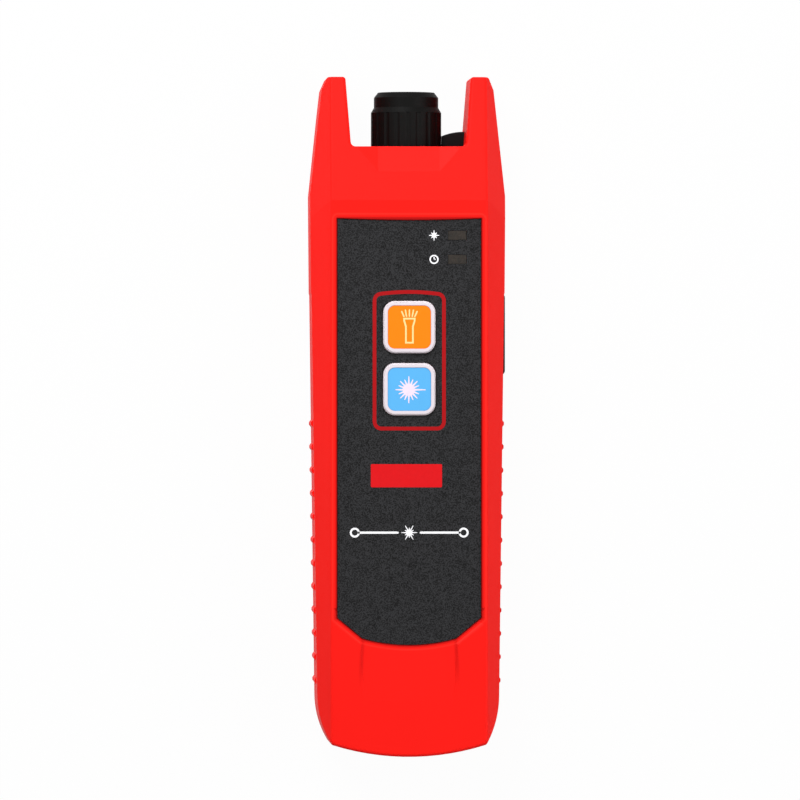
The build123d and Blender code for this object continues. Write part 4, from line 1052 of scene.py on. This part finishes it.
class LOCATOR_OT_inside(bpy.types.Operator):
    """Main board and the parts on it, the keypad mat and the seals."""

    bl_idname = "locator.inside"
    bl_label = "Finish the inside"

    def execute(self, context):
        board = Finish("board_laminate", specular_ior_level=0.5, coat_weight=0.4, coat_roughness=0.2)
        warp = board.noise(1.0, 2, board.stretch(5000, 900, 900))
        weft = board.noise(1.0, 2, board.stretch(900, 5000, 900))
        weave = warp * weft
        tracks = board.cells(420).step(0.42, 0.5)
        board.paint(board.mix(tracks, (0.006, 0.09, 0.035), (0.01, 0.14, 0.055)))
        board.rough(weave, 0.3, 0.45)
        board.bump(tracks * 0.6 + weave, 0.00003, 0.5)
        board.cover("main_board")
        plain_finish("chip_epoxy", (0.02, 0.02, 0.022), 0.55).cover("board_chips")
        plain_finish("switch_body", (0.03, 0.03, 0.032), 0.45).cover("torch_switch", "laser_switch")
        plain_finish("switch_plunger", (0.62, 0.61, 0.58), 0.4).cover("torch_plunger", "laser_plunger")
        plain_finish("mat_silicone", (0.42, 0.43, 0.45), 0.55, subsurface_weight=0.2).cover("keypad_mat")
        plain_finish("led_case", (0.82, 0.8, 0.66), 0.3).cover("status_leds")
        seal = plain_finish("seal_rubber", (0.016, 0.016, 0.017), 0.68)
        seal.cover("case_seal", "cap_seal", "door_gasket")
        return {"FINISHED"}


class LOCATOR_OT_stage(bpy.types.Operator):
    """Camera above the object, a pale floor and soft studio lights."""

    bl_idname = "locator.stage"
    bl_label = "Set the stage"

    def execute(self, context):
        settings = context.scene.locator_stage
        self.camera(context.scene, settings)
        self.floor(settings)
        self.surroundings(context.scene, settings)
        context.scene.view_settings.view_transform = "Standard"
        self.light(context, "key_light", (-0.2, 0.47, 0.5), 0.4, settings.key)
        self.light(context, "fill_light", (0.75, -0.05, 0.85), 0.7, settings.fill)
        return {"FINISHED"}

    def camera(self, scene, settings):
        """A camera that looks down on the front, turned a little about the object's length."""
        yaw = math.radians(settings.yaw)
        right = Vector((math.cos(yaw), 0, math.sin(yaw)))
        up = Vector((0, 1, 0))
        back = right.cross(up)
        aim = Vector(settings.aim) * MM
        data = bpy.data.cameras.new("camera")
        data.lens, data.sensor_width = settings.lens, 36.0
        data.clip_start, data.clip_end = 0.05, 20.0
        camera = bpy.data.objects.new("camera", data)
        turn = Matrix((right, up, back)).transposed().to_4x4()
        camera.matrix_world = Matrix.Translation(aim + back * settings.distance) @ turn
        scene.collection.objects.link(camera)
        scene.camera = camera

    def floor(self, settings):
        """A floor just below the object, which the camera sees almost white."""
        reach, low, high = 3000, -2.0, -0.02
        shape = Shape()
        shape.plate([(-reach, -reach), (reach, -reach), (reach, reach), (-reach, reach)], low, high)
        finish = Finish("stage_floor", specular_ior_level=0.1)
        finish.paint(finish.shade((0.62, 0.62, 0.62), finish.noise(6, 2), 0.01))
        finish.rough(finish.noise(40, 2), 0.85, 0.95)
        glow = finish.root.node("ShaderNodeEmission", {"Color": (1.0, 1.0, 1.0, 1.0), "Strength": 1.0})
        lit = Wire(finish.root.tree, finish.shader.outputs[0])
        share = self.seen(finish.root) * settings.lift
        paler = finish.root.node("ShaderNodeMixShader", {0: share, 1: lit, 2: glow})
        finish.root.feed(finish.material.node_tree.nodes["Material Output"].inputs["Surface"], paler)
        shape.build("stage_floor", finish)

    def surroundings(self, scene, settings):
        """White surroundings, which light the object more from the side than from above."""
        world = bpy.data.worlds.new("studio")
        world.use_nodes = True
        sky = world.node_tree.nodes["Background"]
        sky.inputs["Color"].default_value = (1.0, 1.0, 1.0, 1.0)
        air = Wire(world.node_tree, None)
        place = air.node("ShaderNodeTexCoord", {}, "Generated")
        height = air.node("ShaderNodeSeparateXYZ", {0: place}, "Z")
        strength = height.step(0.25, 0.95, settings.sky, settings.zenith)
        air.feed(sky.inputs["Strength"], strength.high(self.seen(air)))
        scene.world = world

    def seen(self, wire):
        """1 where the camera looks, straight or through gloss and glass."""
        rays = [
            wire.node("ShaderNodeLightPath", {}, f"Is {kind} Ray")
            for kind in ("Camera", "Glossy", "Transmission")
        ]
        return rays[0].high(rays[1]).high(rays[2])

    def light(self, context, name, place, size, power):
        data = bpy.data.lights.new(name, "AREA")
        data.shape, data.size, data.energy = "SQUARE", size, power
        lamp = bpy.data.objects.new(name, data)
        lamp.location = place
        lamp.rotation_mode = "QUATERNION"
        lamp.rotation_quaternion = (-Vector(place)).to_track_quat("-Z", "Y")
        context.scene.collection.objects.link(lamp)


OPERATORS = (
    LOCATOR_OT_case,
    LOCATOR_OT_keys,
    LOCATOR_OT_print,
    LOCATOR_OT_port,
    LOCATOR_OT_tether,
    LOCATOR_OT_power,
    LOCATOR_OT_inside,
    LOCATOR_OT_stage,
)


class LOCATOR_PT_panel(bpy.types.Panel):
    """Sidebar panel with the steps and their settings."""

    bl_idname = "LOCATOR_PT_panel"
    bl_label = "Visual fault locator"
    bl_space_type = "VIEW_3D"
    bl_region_type = "UI"
    bl_category = "Locator"

    def draw(self, context):
        scene = context.scene
        for group in (scene.locator_print, scene.locator_finish, scene.locator_stage):
            box = self.layout.box()
            for name in group.__annotations__:
                box.prop(group, name)
        for operator in OPERATORS:
            self.layout.operator(operator.bl_idname)


GROUPS = {"locator_print": PrintSettings, "locator_finish": FinishSettings, "locator_stage": StageSettings}


def register():
    for group in GROUPS.values():
        bpy.utils.register_class(group)
    for name, group in GROUPS.items():
        setattr(bpy.types.Scene, name, bpy.props.PointerProperty(type=group))
    for operator in OPERATORS:
        bpy.utils.register_class(operator)
    bpy.utils.register_class(LOCATOR_PT_panel)


def unregister():
    bpy.utils.unregister_class(LOCATOR_PT_panel)
    for operator in reversed(OPERATORS):
        bpy.utils.unregister_class(operator)
    for name in GROUPS:
        delattr(bpy.types.Scene, name)
    for group in reversed(GROUPS.values()):
        bpy.utils.unregister_class(group)


def main():
    """Makes every piece in order."""
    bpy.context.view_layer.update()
    register()
    bpy.ops.locator.case()
    bpy.ops.locator.keys()
    bpy.ops.locator.print()
    bpy.ops.locator.port()
    bpy.ops.locator.tether()
    bpy.ops.locator.power()
    bpy.ops.locator.inside()
    bpy.ops.locator.stage()


if __name__ == "__main__":
    main()
